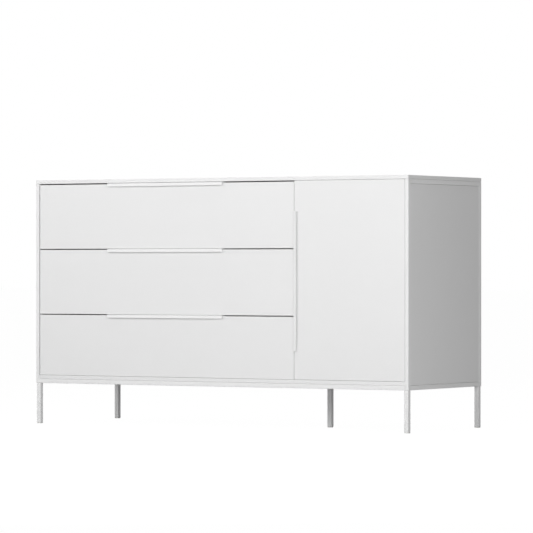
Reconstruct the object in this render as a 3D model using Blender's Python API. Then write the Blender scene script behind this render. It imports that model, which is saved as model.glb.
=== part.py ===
"""Sideboard with three drawers, one side-hung door and five slim legs.

Metres, +Z up. The origin is on the floor under the middle of the overall box, pulls
included, +X runs along the width and the fronts face -Y. Drawers slide out along -Y and
the door turns on two pins beside its right-hand edge.
"""

import math

import bmesh
import bpy
from mathutils import Matrix, Vector

# Overall size
WIDTH = 1.400
DEPTH = 0.472
HEIGHT = 0.795
DOOR_WIDTH = 0.3974

# Boards
TOP_BOARD = 0.012
BOTTOM_BOARD = 0.012
DIVIDER_BOARD = 0.016
BACK_BOARD = 0.006
SHELF_BOARD = 0.016
FRONT_BOARD = 0.018
EASED_EDGE = 0.0008
DOOR_EDGE = 0.001

# Side frames with their infill panels
FRAME_THICKNESS = 0.012
FRAME_WIDTH = 0.014
PANEL_RECESS = 0.0005
PANEL_SEAM = 0.0006
TONGUE_THICKNESS = 0.0034
TONGUE_REACH = 0.0036

# Base rails and legs
LEG_HEIGHT = 0.132
LEG_SIZE = 0.015
LEG_WALL = 0.0015
LEG_INSET = 0.0015
LEG_CAP = 0.003
RAIL_SIZE = 0.014
CENTRE_LEG_OFFSET = 0.0072
STUD_DIAMETER = 0.005
STUD_LENGTH = 0.009
GLIDE_HEIGHT = 0.003
GLIDE_PLUG = 0.012

# Gaps round the fronts
DRAWER_SIDE_GAP = 0.0036
DOOR_SIDE_GAP = 0.0011
DOOR_GAP = 0.0006
TOP_GAP = 0.0036
HANDLE_GAP = 0.0032
MIDDLE_GAP = 0.0016

# Drawers, from the top one down
DRAWERS = 3
LOWER_DRAWER_STEP = 0.0122
RUNNER_LIFT = 0.006
DRAWER_SIDE_HEIGHT = 0.120
DRAWER_SHEET = 0.0012
DRAWER_SIDE_OFFSET = 0.005
DRAWER_SIDE_WIDTH = 0.016
DRAWER_LEDGE = 0.010
DRAWER_LEDGE_HEIGHT = 0.017
DRAWER_ROLL = 0.008
DRAWER_BOTTOM_BOARD = 0.012
DRAWER_BACK_BOARD = 0.012
DRAWER_BACK_DROP = 0.004
RUNNER_SHEET = 0.002
RUNNER_HEIGHT = 0.034
RUNNER_RAIL_HEIGHT = 0.014
RUNNER_PLAY = 0.0005
RUNNER_STEP = 0.050
RUNNER_BACK_ROOM = 0.010

# Edge pulls of folded sheet
HANDLE_LENGTH = 0.440
HANDLE_REACH = 0.007
HANDLE_FLARE = 0.0018
HANDLE_LIP = 0.0105
HANDLE_SHEET = 0.0022
HANDLE_TAIL = 0.014
DRAWER_HANDLE_SHIFT = 0.003
DOOR_HANDLE_DROP = 0.0035
DOOR_HANDLE_LET_IN = 0.0020

# Door pins, catch and shelf
PIVOT_SIDE_INSET = 0.010
PIVOT_FACE_INSET = 0.005
PIN_DIAMETER = 0.0035
PIN_LENGTH = 0.010
PIN_PLATE = (0.036, 0.012, 0.0012)
PIN_PLATE_SETBACK = 0.003
BUSH_DIAMETER = 0.006
BUSH_LENGTH = 0.012
BUSH_PLAY = 0.0003
CATCH_SIZE = (0.044, 0.013, 0.015)
CATCH_PLATE = (0.036, 0.0012, 0.014)
CATCH_EDGE_DISTANCE = 0.045
CATCH_PLAY = 0.0006
SHELF_PIN_DIAMETER = 0.005
SHELF_PIN_DEPTH = 0.008
SHELF_PIN_COLLAR = 0.009
SHELF_PIN_COLLAR_LENGTH = 0.0012
SHELF_PIN_REACH = 0.009
SHELF_PIN_INSET = 0.060
SHELF_SIDE_PLAY = 0.002
SHELF_SETBACK = 0.012
DIVIDER_SETBACK = 0.0015
BACK_INSET = 0.002

# Clearances of the assembly
FIT = 0.0003
HOLE_PLAY = 0.0003
CUT_OVERSHOOT = 0.002
ROUND_SIDES = 20

# Places that follow from the sizes
LEFT, RIGHT = -WIDTH / 2, WIDTH / 2
MIDDLE_Y = HANDLE_REACH / 2
FRONT, REAR = MIDDLE_Y - DEPTH / 2, MIDDLE_Y + DEPTH / 2
INNER_X = WIDTH / 2 - FRAME_THICKNESS
BODY_TOP = HEIGHT - TOP_BOARD
RAIL_TOP = LEG_HEIGHT + RAIL_SIZE
FLOOR_Z = RAIL_TOP + FIT + BOTTOM_BOARD
FRONT_BACK = FRONT + FRONT_BOARD
BACK_FRONT = REAR - BACK_INSET - BACK_BOARD
DOOR_RIGHT = INNER_X - DOOR_SIDE_GAP
DOOR_LEFT = DOOR_RIGHT - DOOR_WIDTH
DRAWER_FRONT_LEFT = -INNER_X + DRAWER_SIDE_GAP
DRAWER_FRONT_RIGHT = DOOR_LEFT - MIDDLE_GAP
DRAWER_X = (DRAWER_FRONT_LEFT + DRAWER_FRONT_RIGHT) / 2
DIVIDER_X = DOOR_LEFT - MIDDLE_GAP / 2
DIVIDER_LEFT = DIVIDER_X - DIVIDER_BOARD / 2
DIVIDER_RIGHT = DIVIDER_X + DIVIDER_BOARD / 2
CENTRE_LEG_X = DIVIDER_X - CENTRE_LEG_OFFSET
DOOR_BOTTOM = FLOOR_Z + DOOR_GAP
DOOR_TOP = BODY_TOP - DOOR_GAP
PIVOT = Vector((DOOR_RIGHT - PIVOT_SIDE_INSET, FRONT + PIVOT_FACE_INSET, 0.0))
SHELF_Z = (FLOOR_Z + BODY_TOP) / 2


def drawer_levels():
    """Bottom and top of each drawer front, from the top drawer down."""
    room = BODY_TOP - FLOOR_Z - DOOR_GAP - TOP_GAP - (DRAWERS - 1) * HANDLE_GAP
    upper = (room + LOWER_DRAWER_STEP) / DRAWERS
    levels = []
    top = BODY_TOP - TOP_GAP
    for number in range(1, DRAWERS + 1):
        height = upper if number < DRAWERS else upper - LOWER_DRAWER_STEP
        levels.append((top - height, top))
        top -= height + HANDLE_GAP
    return levels


def runner_length():
    """The longest runner, in stock steps, that the depth of the body takes."""
    room = BACK_FRONT - FRONT_BACK - RUNNER_BACK_ROOM
    return math.floor(room / RUNNER_STEP) * RUNNER_STEP


def finish(name, colour, roughness, metallic=0.0):
    """A plain Principled material."""
    made = bpy.data.materials.new(name)
    made.use_nodes = True
    shader = made.node_tree.nodes["Principled BSDF"]
    shader.inputs["Base Color"].default_value = (*colour, 1.0)
    shader.inputs["Roughness"].default_value = roughness
    shader.inputs["Metallic"].default_value = metallic
    return made


def empty(name, place, parent=None):
    """An empty that carries the pieces of one body."""
    made = bpy.data.objects.new(name, None)
    made.empty_display_size = 0.03
    made.location = place
    made.parent = parent
    bpy.context.scene.collection.objects.link(made)
    return made


def add(name, mesh_data, place, parent, material=None):
    """Puts a mesh into the scene at a place given in the object's own frame."""
    bmesh.ops.recalc_face_normals(mesh_data, faces=mesh_data.faces)
    mesh = bpy.data.meshes.new(name)
    mesh_data.to_mesh(mesh)
    mesh_data.free()
    made = bpy.data.objects.new(name, mesh)
    bpy.context.scene.collection.objects.link(made)
    made.parent = parent
    made.location = Vector(place) - (parent.location if parent else Vector())
    if material:
        mesh.materials.append(material)
    return made


def box_mesh(size):
    """A box centred on its own origin."""
    mesh_data = bmesh.new()
    bmesh.ops.create_cube(mesh_data, size=1.0)
    bmesh.ops.scale(mesh_data, vec=size, verts=mesh_data.verts)
    return mesh_data


def board(name, low, high, parent, material, edge=EASED_EDGE):
    """A board between two corners, with its edges eased."""
    low, high = Vector(low), Vector(high)
    made = add(name, box_mesh(high - low), (low + high) / 2, parent, material)
    if edge:
        eased = made.modifiers.new("eased_edges", "BEVEL")
        eased.width = edge
        eased.segments = 1
        eased.limit_method = "ANGLE"
    return made


def extrusion(name, outline, axis, start, length, parent, material):
    """An outline of (across, up) points drawn out along X or Y.

    Along X the points are (y, z), and along Y they are (x, z); along Z they are (x, y).
    """
    spread = {"X": (1, 2), "Y": (0, 2), "Z": (0, 1)}[axis]
    along = "XYZ".index(axis)
    mesh_data = bmesh.new()
    corners = []
    for across, up in outline:
        point = [0.0, 0.0, 0.0]
        point[spread[0]], point[spread[1]] = across, up
        corners.append(mesh_data.verts.new(point))
    face = mesh_data.faces.new(corners)
    drawn = bmesh.ops.extrude_face_region(mesh_data, geom=[face])["geom"]
    step = Vector((0.0, 0.0, 0.0))
    step[along] = length
    moved = [item for item in drawn if isinstance(item, bmesh.types.BMVert)]
    bmesh.ops.translate(mesh_data, vec=step, verts=moved)
    place = Vector((0.0, 0.0, 0.0))
    place[along] = start
    return add(name, mesh_data, place, parent, material)


def turned_mesh(profile, axis):
    """A solid turned about an axis, from (distance along it, radius) points end to end."""
    mesh_data = bmesh.new()
    points = [(along, 0.0) for along, _ in profile[:1]]
    points += list(profile) + [(profile[-1][0], 0.0)]
    verts = [mesh_data.verts.new((radius, 0.0, along)) for along, radius in points]
    edges = [mesh_data.edges.new(pair) for pair in zip(verts, verts[1:])]
    bmesh.ops.spin(
        mesh_data,
        geom=verts + edges,
        cent=(0.0, 0.0, 0.0),
        axis=(0.0, 0.0, 1.0),
        angle=2 * math.pi,
        steps=ROUND_SIDES,
        use_merge=True,
    )
    bmesh.ops.remove_doubles(mesh_data, verts=mesh_data.verts, dist=1e-6)
    if axis == "X":
        turn = Matrix.Rotation(math.pi / 2, 3, "Y")
        bmesh.ops.rotate(mesh_data, cent=(0.0, 0.0, 0.0), matrix=turn, verts=mesh_data.verts)
    return mesh_data


def turned(name, profile, axis, place, parent, material):
    """A turned piece, shaded smooth but for its sharp edges."""
    made = add(name, turned_mesh(profile, axis), place, parent, material)
    made.data.shade_smooth()
    made.data.set_sharp_from_angle(angle=math.radians(40))
    return made


def rod_mesh(diameter, start, length, axis="Z"):
    """A plain rod from start, drawn out by length."""
    return turned_mesh([(start, diameter / 2), (start + length, diameter / 2)], axis)


def combine(target, mesh_data, place, operation="DIFFERENCE"):
    """Cuts a hidden helper out of a piece, or joins it on, with an exact Boolean."""
    count = len([item for item in target.modifiers if item.type == "BOOLEAN"])
    helper = add(f"{target.name}_helper_{count}", mesh_data, place, target.parent)
    helper.hide_render = True
    helper.display_type = "WIRE"
    modifier = target.modifiers.new(f"{operation.lower()}_{count}", "BOOLEAN")
    modifier.operation = operation
    modifier.solver = "EXACT"
    modifier.object = helper
    return helper


def build_side(side, name, root, steel, lacquer):
    """One welded side frame and the infill panel whose tongue sits in its groove."""
    outer, inner = side * WIDTH / 2, side * INNER_X
    low_x, high_x = min(outer, inner), max(outer, inner)
    middle_z = (LEG_HEIGHT + BODY_TOP - FIT) / 2
    frame_height = BODY_TOP - FIT - LEG_HEIGHT
    opening = Vector((0.0, DEPTH - 2 * FRAME_WIDTH, frame_height - 2 * FRAME_WIDTH))
    frame = board(
        f"{name}_side_frame", (low_x, FRONT, LEG_HEIGHT), (high_x, REAR, BODY_TOP - FIT),
        root, steel,
    )
    centre = (side * (WIDTH / 2 - FRAME_THICKNESS / 2), MIDDLE_Y, middle_z)
    through = opening + Vector((FRAME_THICKNESS + 2 * CUT_OVERSHOOT, 0.0, 0.0))
    combine(frame, box_mesh(through), centre)
    groove_depth = 2 * (TONGUE_REACH + FIT)
    groove = opening + Vector((TONGUE_THICKNESS + 2 * FIT, groove_depth, groove_depth))
    combine(frame, box_mesh(groove), centre)

    half = (opening - Vector((0.0, 2 * PANEL_SEAM, 2 * PANEL_SEAM))) / 2
    face_x = side * (WIDTH / 2 - PANEL_RECESS)
    panel = board(
        f"{name}_side_panel",
        (min(face_x, inner), MIDDLE_Y - half.y, middle_z - half.z),
        (max(face_x, inner), MIDDLE_Y + half.y, middle_z + half.z),
        root, lacquer, edge=0.0,
    )
    grown = 2 * (TONGUE_REACH - PANEL_SEAM)
    tongue = Vector((TONGUE_THICKNESS, 2 * half.y + grown, 2 * half.z + grown))
    combine(panel, box_mesh(tongue), centre, "UNION")
    return frame, panel


def build_carcass(root, steel, lacquer, melamine):
    """Top, bottom, sides, divider, back and base rails. Returns the pieces by name."""
    pieces = {}
    for side, name in ((-1, "left"), (1, "right")):
        pieces[f"{name}_frame"], pieces[f"{name}_panel"] = build_side(
            side, name, root, steel, lacquer
        )
    pieces["top"] = board(
        "top_panel", (LEFT, FRONT, BODY_TOP), (RIGHT, REAR, HEIGHT), root, lacquer
    )
    span = INNER_X - FIT
    pieces["bottom"] = board(
        "bottom_panel", (-span, FRONT, RAIL_TOP + FIT), (span, REAR, FLOOR_Z), root, lacquer
    )
    pieces["divider"] = board(
        "divider_panel",
        (DIVIDER_LEFT, FRONT_BACK + DIVIDER_SETBACK, FLOOR_Z + FIT),
        (DIVIDER_RIGHT, BACK_FRONT - FIT, BODY_TOP - FIT),
        root, melamine,
    )
    board(
        "back_panel",
        (-span, BACK_FRONT, FLOOR_Z + FIT), (span, REAR - BACK_INSET, BODY_TOP - FIT),
        root, melamine,
    )
    for name, low_y in (("front", FRONT), ("rear", REAR - RAIL_SIZE)):
        board(
            f"{name}_base_rail",
            (-span, low_y, LEG_HEIGHT), (span, low_y + RAIL_SIZE, RAIL_TOP),
            root, steel,
        )
    pieces["centre_rail"] = board(
        "centre_base_rail",
        (CENTRE_LEG_X - RAIL_SIZE / 2, FRONT + RAIL_SIZE + FIT, LEG_HEIGHT),
        (CENTRE_LEG_X + RAIL_SIZE / 2, REAR - RAIL_SIZE - FIT, RAIL_TOP),
        root, steel,
    )
    return pieces


def build_leg(name, place, stud_x, host, root, steel, plastic):
    """A square tube leg with a capped top, its stud in the frame above and a foot glide."""
    x, y = place
    top = LEG_HEIGHT - FIT
    foot = GLIDE_HEIGHT + FIT
    half = LEG_SIZE / 2
    leg = board(f"{name}_leg", (x - half, y - half, foot), (x + half, y + half, top), root, steel)
    bore = LEG_SIZE - 2 * LEG_WALL
    bore_height = top - LEG_CAP - foot + CUT_OVERSHOOT
    bore_centre = (x, y, foot - CUT_OVERSHOOT + bore_height / 2)
    combine(leg, box_mesh((bore, bore, bore_height)), bore_centre)
    stud = rod_mesh(STUD_DIAMETER, -LEG_CAP / 2, LEG_CAP / 2 + STUD_LENGTH)
    combine(leg, stud, (stud_x, y, top), "UNION")
    hole_depth = STUD_LENGTH + CUT_OVERSHOOT
    hole = rod_mesh(STUD_DIAMETER + 2 * HOLE_PLAY, -CUT_OVERSHOOT, hole_depth + CUT_OVERSHOOT)
    combine(host, hole, (stud_x, y, LEG_HEIGHT))

    glide = board(
        f"{name}_glide",
        (x - half, y - half, 0.0), (x + half, y + half, GLIDE_HEIGHT), root, plastic,
    )
    plug = bore - 2 * FIT
    plug_size = (plug, plug, GLIDE_PLUG + GLIDE_HEIGHT / 2)
    plug_centre = (x, y, GLIDE_HEIGHT / 2 + plug_size[2] / 2)
    combine(glide, box_mesh(plug_size), plug_centre, "UNION")


def build_legs(pieces, root, steel, plastic):
    """Four corner legs under the side frames and one under the divider."""
    inset = LEG_INSET + LEG_SIZE / 2
    stud_x = WIDTH / 2 - FRAME_THICKNESS / 2
    for end, sign_y in (("front", -1), ("rear", 1)):
        for name, sign_x in (("left", -1), ("right", 1)):
            place = (sign_x * (WIDTH / 2 - inset), MIDDLE_Y + sign_y * (DEPTH / 2 - inset))
            host = pieces[f"{name}_frame"]
            build_leg(f"{end}_{name}", place, sign_x * stud_x, host, root, steel, plastic)
    place = (CENTRE_LEG_X, MIDDLE_Y)
    build_leg("centre", place, CENTRE_LEG_X, pieces["centre_rail"], root, steel, plastic)


def build_shelf(pieces, root, melamine, zinc):
    """The shelf behind the door and the four pins that carry it."""
    low_y = FRONT_BACK + SHELF_SETBACK
    high_y = BACK_FRONT - SHELF_SIDE_PLAY
    shelf_low = SHELF_Z - SHELF_BOARD / 2
    board(
        "shelf",
        (DIVIDER_RIGHT + SHELF_SIDE_PLAY, low_y, shelf_low),
        (INNER_X - SHELF_SIDE_PLAY, high_y, shelf_low + SHELF_BOARD),
        root, melamine,
    )
    radius = SHELF_PIN_DIAMETER / 2
    collar = SHELF_PIN_COLLAR / 2
    collar_start = FIT
    collar_end = collar_start + SHELF_PIN_COLLAR_LENGTH
    axis_z = shelf_low - FIT - radius
    profile = [
        (-SHELF_PIN_DEPTH, radius),
        (collar_start, radius),
        (collar_start, collar),
        (collar_end, collar),
        (collar_end, radius),
        (collar_end + SHELF_PIN_REACH, radius),
    ]
    walls = (("left", 1, DIVIDER_RIGHT, "divider"), ("right", -1, INNER_X, "right_panel"))
    for end, y in (("front", low_y + SHELF_PIN_INSET), ("rear", high_y - SHELF_PIN_INSET)):
        for name, inward, wall_x, host in walls:
            run = [(inward * along, r) for along, r in profile]
            place = (wall_x, y, axis_z)
            turned(f"shelf_pin_{end}_{name}", run, "X", place, root, zinc)
            depth = SHELF_PIN_DEPTH + FIT
            hole = rod_mesh(
                SHELF_PIN_DIAMETER + 2 * HOLE_PLAY,
                inward * CUT_OVERSHOOT, -inward * (depth + CUT_OVERSHOOT), "X",
            )
            combine(pieces[host], hole, place)


def handle_outline(edge, face, sheet_side):
    """The folded sheet of an edge pull, as (out of the front, across the edge) points.

    edge is where the front's edge lies, face is the front's outer face, and sheet_side
    points from the edge into the gap that the sheet fills. The lip leans out by the flare
    from its fold to its tip.
    """
    near = edge + sheet_side * FIT
    far = near + sheet_side * HANDLE_SHEET
    tip = far - sheet_side * HANDLE_LIP
    outer = face - HANDLE_REACH
    fold = outer + HANDLE_FLARE
    return [
        (fold, far),
        (outer, tip),
        (outer + HANDLE_SHEET, tip),
        (fold + HANDLE_SHEET, near),
        (face + HANDLE_TAIL, near),
        (face + HANDLE_TAIL, far),
    ]


def runner_outline(wall, inward, base):
    """A fixed runner: a flange on the wall, a foot, and the rail that the drawer rides."""
    rail_start = DRAWER_SIDE_OFFSET + DRAWER_SHEET + RUNNER_PLAY
    rail_end = DRAWER_SIDE_OFFSET + DRAWER_SIDE_WIDTH - DRAWER_SHEET - RUNNER_PLAY
    points = [
        (FIT, 0.0),
        (rail_end, 0.0),
        (rail_end, RUNNER_RAIL_HEIGHT),
        (rail_start, RUNNER_RAIL_HEIGHT),
        (rail_start, RUNNER_SHEET),
        (FIT + RUNNER_SHEET, RUNNER_SHEET),
        (FIT + RUNNER_SHEET, RUNNER_HEIGHT),
        (FIT, RUNNER_HEIGHT),
    ]
    return [(wall + inward * u, base + z) for u, z in points]


def drawer_side_outline(wall, inward, base):
    """A folded drawer side: a channel over the runner's rail, a ledge and a rolled top."""
    outer = DRAWER_SIDE_OFFSET
    inner = outer + DRAWER_SIDE_WIDTH
    foot = RUNNER_SHEET + RUNNER_PLAY
    web = RUNNER_RAIL_HEIGHT + RUNNER_PLAY
    top = DRAWER_SIDE_HEIGHT
    sheet = DRAWER_SHEET
    ledge = DRAWER_LEDGE_HEIGHT
    points = [
        (outer, foot),
        (outer + sheet, foot),
        (outer + sheet, web),
        (inner - sheet, web),
        (inner - sheet, foot),
        (inner, foot),
        (inner, ledge),
        (inner + DRAWER_LEDGE, ledge),
        (inner + DRAWER_LEDGE, ledge + sheet),
        (inner, ledge + sheet),
        (inner, top),
        (inner - DRAWER_ROLL, top),
        (inner - DRAWER_ROLL, top - DRAWER_ROLL),
        (inner - DRAWER_ROLL + sheet, top - DRAWER_ROLL),
        (inner - DRAWER_ROLL + sheet, top - sheet),
        (inner - sheet, top - sheet),
        (inner - sheet, web + sheet),
        (outer, web + sheet),
    ]
    return [(wall + inward * u, base + z) for u, z in points]


def build_drawer(number, levels, root, finishes):
    """One drawer on its slide empty, and the two runners that stay in the body."""
    low, high = levels
    name = f"drawer_{number}"
    slide = empty(f"{name}_slide", (DRAWER_X, FRONT, low), root)
    board(
        f"{name}_front",
        (DRAWER_FRONT_LEFT, FRONT, low), (DRAWER_FRONT_RIGHT, FRONT_BACK, high),
        slide, finishes["lacquer"],
    )
    extrusion(
        f"{name}_handle", handle_outline(high, FRONT, 1), "X",
        DRAWER_X + DRAWER_HANDLE_SHIFT - HANDLE_LENGTH / 2, HANDLE_LENGTH,
        slide, finishes["steel"],
    )
    base = low + RUNNER_LIFT
    start, length = FRONT_BACK + FIT, runner_length()
    walls = (("left", -INNER_X, 1), ("right", DIVIDER_LEFT, -1))
    for side, wall, inward in walls:
        extrusion(
            f"{name}_{side}_runner", runner_outline(wall, inward, base), "Y",
            start + DIVIDER_SETBACK, length, root, finishes["zinc"],
        )
        extrusion(
            f"{name}_{side}_side", drawer_side_outline(wall, inward, base), "Y",
            start, length, slide, finishes["drawer_steel"],
        )
    inner = DRAWER_SIDE_OFFSET + DRAWER_SIDE_WIDTH + FIT
    low_x, high_x = -INNER_X + inner, DIVIDER_LEFT - inner
    bottom_z = base + DRAWER_LEDGE_HEIGHT + DRAWER_SHEET + FIT
    bottom_top = bottom_z + DRAWER_BOTTOM_BOARD
    board(
        f"{name}_bottom",
        (low_x, start, bottom_z), (high_x, start + length, bottom_top),
        slide, finishes["melamine"],
    )
    board(
        f"{name}_back",
        (low_x, start + length - DRAWER_BACK_BOARD, bottom_top + FIT),
        (high_x, start + length, base + DRAWER_SIDE_HEIGHT - DRAWER_BACK_DROP),
        slide, finishes["melamine"],
    )


def build_door(pieces, root, finishes):
    """The door with its pull, bushes and catch plate, and the pins and catch in the body."""
    pivot = empty("door_pivot", PIVOT, root)
    door = board(
        "door_panel",
        (DOOR_LEFT, FRONT, DOOR_BOTTOM), (DOOR_RIGHT, FRONT_BACK, DOOR_TOP),
        pivot, finishes["lacquer"], DOOR_EDGE,
    )
    bed = DOOR_LEFT + DOOR_HANDLE_LET_IN
    outline = [(x, y) for y, x in handle_outline(bed, FRONT, -1)]
    middle_z = (DOOR_BOTTOM + DOOR_TOP) / 2 - DOOR_HANDLE_DROP
    notch = Vector((
        DOOR_HANDLE_LET_IN + CUT_OVERSHOOT,
        HANDLE_TAIL + FIT + CUT_OVERSHOOT,
        HANDLE_LENGTH + 2 * FIT,
    ))
    notch_y = FRONT + HANDLE_TAIL + FIT - notch.y / 2
    combine(door, box_mesh(notch), (bed - notch.x / 2, notch_y, middle_z))
    extrusion(
        "door_handle", outline, "Z",
        middle_z - HANDLE_LENGTH / 2, HANDLE_LENGTH, pivot, finishes["steel"],
    )
    plate_x = PIVOT.x + BUSH_DIAMETER - PIN_PLATE[0] / 2
    plate_y = PIVOT.y + PIN_PLATE_SETBACK
    ends = (("upper", BODY_TOP, DOOR_TOP, -1, "top"), ("lower", FLOOR_Z, DOOR_BOTTOM, 1, "bottom"))
    for name, surface, door_edge, into_door, host in ends:
        plate_z = surface - into_door * (PIN_PLATE[2] / 2)
        place = (plate_x, plate_y, plate_z)
        pin = add(f"{name}_door_pin", box_mesh(PIN_PLATE), place, root, finishes["zinc"])
        rooted = PIN_PLATE[2] / 2
        run = rooted + DOOR_GAP + PIN_LENGTH
        rod = rod_mesh(PIN_DIAMETER, -into_door * rooted, into_door * run)
        combine(pin, rod, (PIVOT.x, PIVOT.y, surface), "UNION")
        pocket = Vector(PIN_PLATE) + Vector((2 * FIT, 2 * FIT, FIT + CUT_OVERSHOOT))
        pocket_z = surface - into_door * (PIN_PLATE[2] + FIT - pocket.z / 2)
        combine(pieces[host], box_mesh(pocket), (plate_x, plate_y, pocket_z))

        bore = rod_mesh(
            BUSH_DIAMETER + 2 * FIT, -into_door * CUT_OVERSHOOT,
            into_door * (CUT_OVERSHOOT + BUSH_LENGTH + FIT),
        )
        combine(door, bore, (PIVOT.x, PIVOT.y, door_edge))
        bush = turned(
            f"{name}_door_bush",
            [(0.0, BUSH_DIAMETER / 2), (into_door * BUSH_LENGTH, BUSH_DIAMETER / 2)], "Z",
            (PIVOT.x, PIVOT.y, door_edge), pivot, finishes["plastic"],
        )
        hole = rod_mesh(
            PIN_DIAMETER + 2 * BUSH_PLAY, -into_door * CUT_OVERSHOOT,
            into_door * (CUT_OVERSHOOT + PIN_LENGTH + BUSH_PLAY),
        )
        combine(bush, hole, (PIVOT.x, PIVOT.y, door_edge))
    build_catch(root, pivot, finishes)


def build_catch(root, pivot, finishes):
    """A magnetic catch under the top board and its plate on the back of the door."""
    catch_x = DOOR_LEFT + CATCH_EDGE_DISTANCE
    plate_back = FRONT_BACK + FIT + CATCH_PLATE[1]
    plate_z = DOOR_TOP - CATCH_PLATE[2] / 2 - CATCH_PLAY
    place = (catch_x, plate_back - CATCH_PLATE[1] / 2, plate_z)
    add("door_catch_plate", box_mesh(CATCH_PLATE), place, pivot, finishes["zinc"])
    front_y = plate_back + CATCH_PLAY
    top_z = BODY_TOP - FIT
    board(
        "door_catch",
        (catch_x - CATCH_SIZE[0] / 2, front_y, top_z - CATCH_SIZE[2]),
        (catch_x + CATCH_SIZE[0] / 2, front_y + CATCH_SIZE[1], top_z),
        root, finishes["plastic"],
    )


def build():
    """Clears the scene and builds the whole sideboard."""
    for old in list(bpy.data.objects):
        bpy.data.objects.remove(old, do_unlink=True)
    finishes = {
        "lacquer": finish("white_lacquer", (0.84, 0.84, 0.84), 0.42),
        "steel": finish("white_powder_coat", (0.86, 0.86, 0.86), 0.48),
        "melamine": finish("white_melamine", (0.82, 0.82, 0.81), 0.55),
        "drawer_steel": finish("grey_drawer_steel", (0.70, 0.71, 0.72), 0.40, 0.2),
        "zinc": finish("zinc_plate", (0.62, 0.63, 0.64), 0.35, 1.0),
        "plastic": finish("white_nylon", (0.80, 0.80, 0.78), 0.50),
    }
    root = empty("sideboard", (0.0, 0.0, 0.0))
    steel, lacquer, melamine = finishes["steel"], finishes["lacquer"], finishes["melamine"]
    pieces = build_carcass(root, steel, lacquer, melamine)
    build_legs(pieces, root, steel, finishes["plastic"])
    build_shelf(pieces, root, melamine, finishes["zinc"])
    for number, levels in enumerate(drawer_levels(), start=1):
        build_drawer(number, levels, root, finishes)
    build_door(pieces, root, finishes)


build()
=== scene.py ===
"""The sideboard as it leaves the workshop: every board, frame, pull, runner and screw.

Each piece takes its place from the CAD piece it stands for, rides on that piece's body and
gets its shape as a surface worked out with numpy. Lengths are metres, +Z is up and the
fronts face -Y.
"""

import logging
import math
from dataclasses import dataclass
from enum import Enum
from functools import cache
from typing import Any, Callable, Sequence

import bpy
import numpy as np
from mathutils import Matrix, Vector


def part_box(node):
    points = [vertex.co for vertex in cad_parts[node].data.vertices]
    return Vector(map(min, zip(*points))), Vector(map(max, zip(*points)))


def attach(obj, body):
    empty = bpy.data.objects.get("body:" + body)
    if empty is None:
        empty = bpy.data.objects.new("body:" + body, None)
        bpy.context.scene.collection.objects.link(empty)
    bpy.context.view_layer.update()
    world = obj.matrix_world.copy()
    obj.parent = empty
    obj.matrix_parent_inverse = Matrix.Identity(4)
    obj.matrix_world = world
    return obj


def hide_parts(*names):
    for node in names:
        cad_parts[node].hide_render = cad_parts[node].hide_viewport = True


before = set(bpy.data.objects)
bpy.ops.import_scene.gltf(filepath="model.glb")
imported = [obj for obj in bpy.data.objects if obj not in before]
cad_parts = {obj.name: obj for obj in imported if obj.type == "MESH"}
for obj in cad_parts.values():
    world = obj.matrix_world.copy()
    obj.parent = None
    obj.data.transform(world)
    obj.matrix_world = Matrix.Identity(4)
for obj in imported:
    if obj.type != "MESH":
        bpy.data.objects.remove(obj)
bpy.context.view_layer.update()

LOG = logging.getLogger("sideboard")
Array = np.ndarray

CABINET = "cabinet"
DOOR = "door"
DRAWERS = ("drawer_1", "drawer_2", "drawer_3")

WELD = 1e-7
ARC_STEPS = 4
ROUND_STEPS = 32
CROWN_STEPS = 8
LEAST_TURN = 0.1
SHARP_TURN = math.radians(32)
FIT = 0.0003
CUT_REACH = 0.001
PIN_PLATE = 0.0012
BEND_ATTRIBUTE = "edge_bend"


# Shapes


class Axis(Enum):
    """The direction a profile is drawn out along, as the world axes of (across, up, along)."""

    X = (1, 2, 0)
    Y = (2, 0, 1)
    Z = (0, 1, 2)

    def place(self, across: Array, up: Array, along: Array) -> Array:
        """World points from two places across the axis and one along it.

        Args:
            across: Places on the first cross axis.
            up: Places on the second cross axis.
            along: Places on the axis itself.

        Returns:
            Points with x, y and z in the last dimension.
        """
        spread = np.stack(np.broadcast_arrays(across, up, along), axis=-1).astype(float)
        points = np.empty_like(spread)
        points[..., list(self.value)] = spread
        return points


@dataclass(frozen=True)
class Span:
    """The lowest and the highest corner of a piece."""

    low: Array
    high: Array

    @classmethod
    def of(cls, node: str) -> "Span":
        """The span of a CAD piece."""
        return cls.between(*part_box(node))

    @classmethod
    def between(cls, low: Sequence[float], high: Sequence[float]) -> "Span":
        """The span between two corners."""
        return cls(np.array(low, float), np.array(high, float))

    @property
    def centre(self) -> Array:
        """The point in its middle."""
        return (self.low + self.high) / 2

    def grown(self, low: Sequence[float], high: Sequence[float]) -> "Span":
        """The span with these lengths added to its low and its high corner."""
        return Span(self.low + np.array(low), self.high + np.array(high))

    def edged(self, foil: float) -> tuple["Span", "Span"]:
        """The board behind a strip of foil on its front edge, and the strip."""
        strip = Span.between(self.low, (self.high[0], self.low[1] + foil, self.high[2]))
        return self.grown((0, foil, 0), (0, 0, 0)), strip


@dataclass(frozen=True)
class Outline:
    """A line in a plane whose corners are arcs.

    points are its points, facing the way each one faces, and bend is 0 on a flat and 1 in
    the middle of an outer corner's arc.
    """

    points: Array
    facing: Array
    bend: Array

    def flipped(self) -> "Outline":
        """The same line facing the other way."""
        return Outline(self.points, -self.facing, self.bend)


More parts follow.
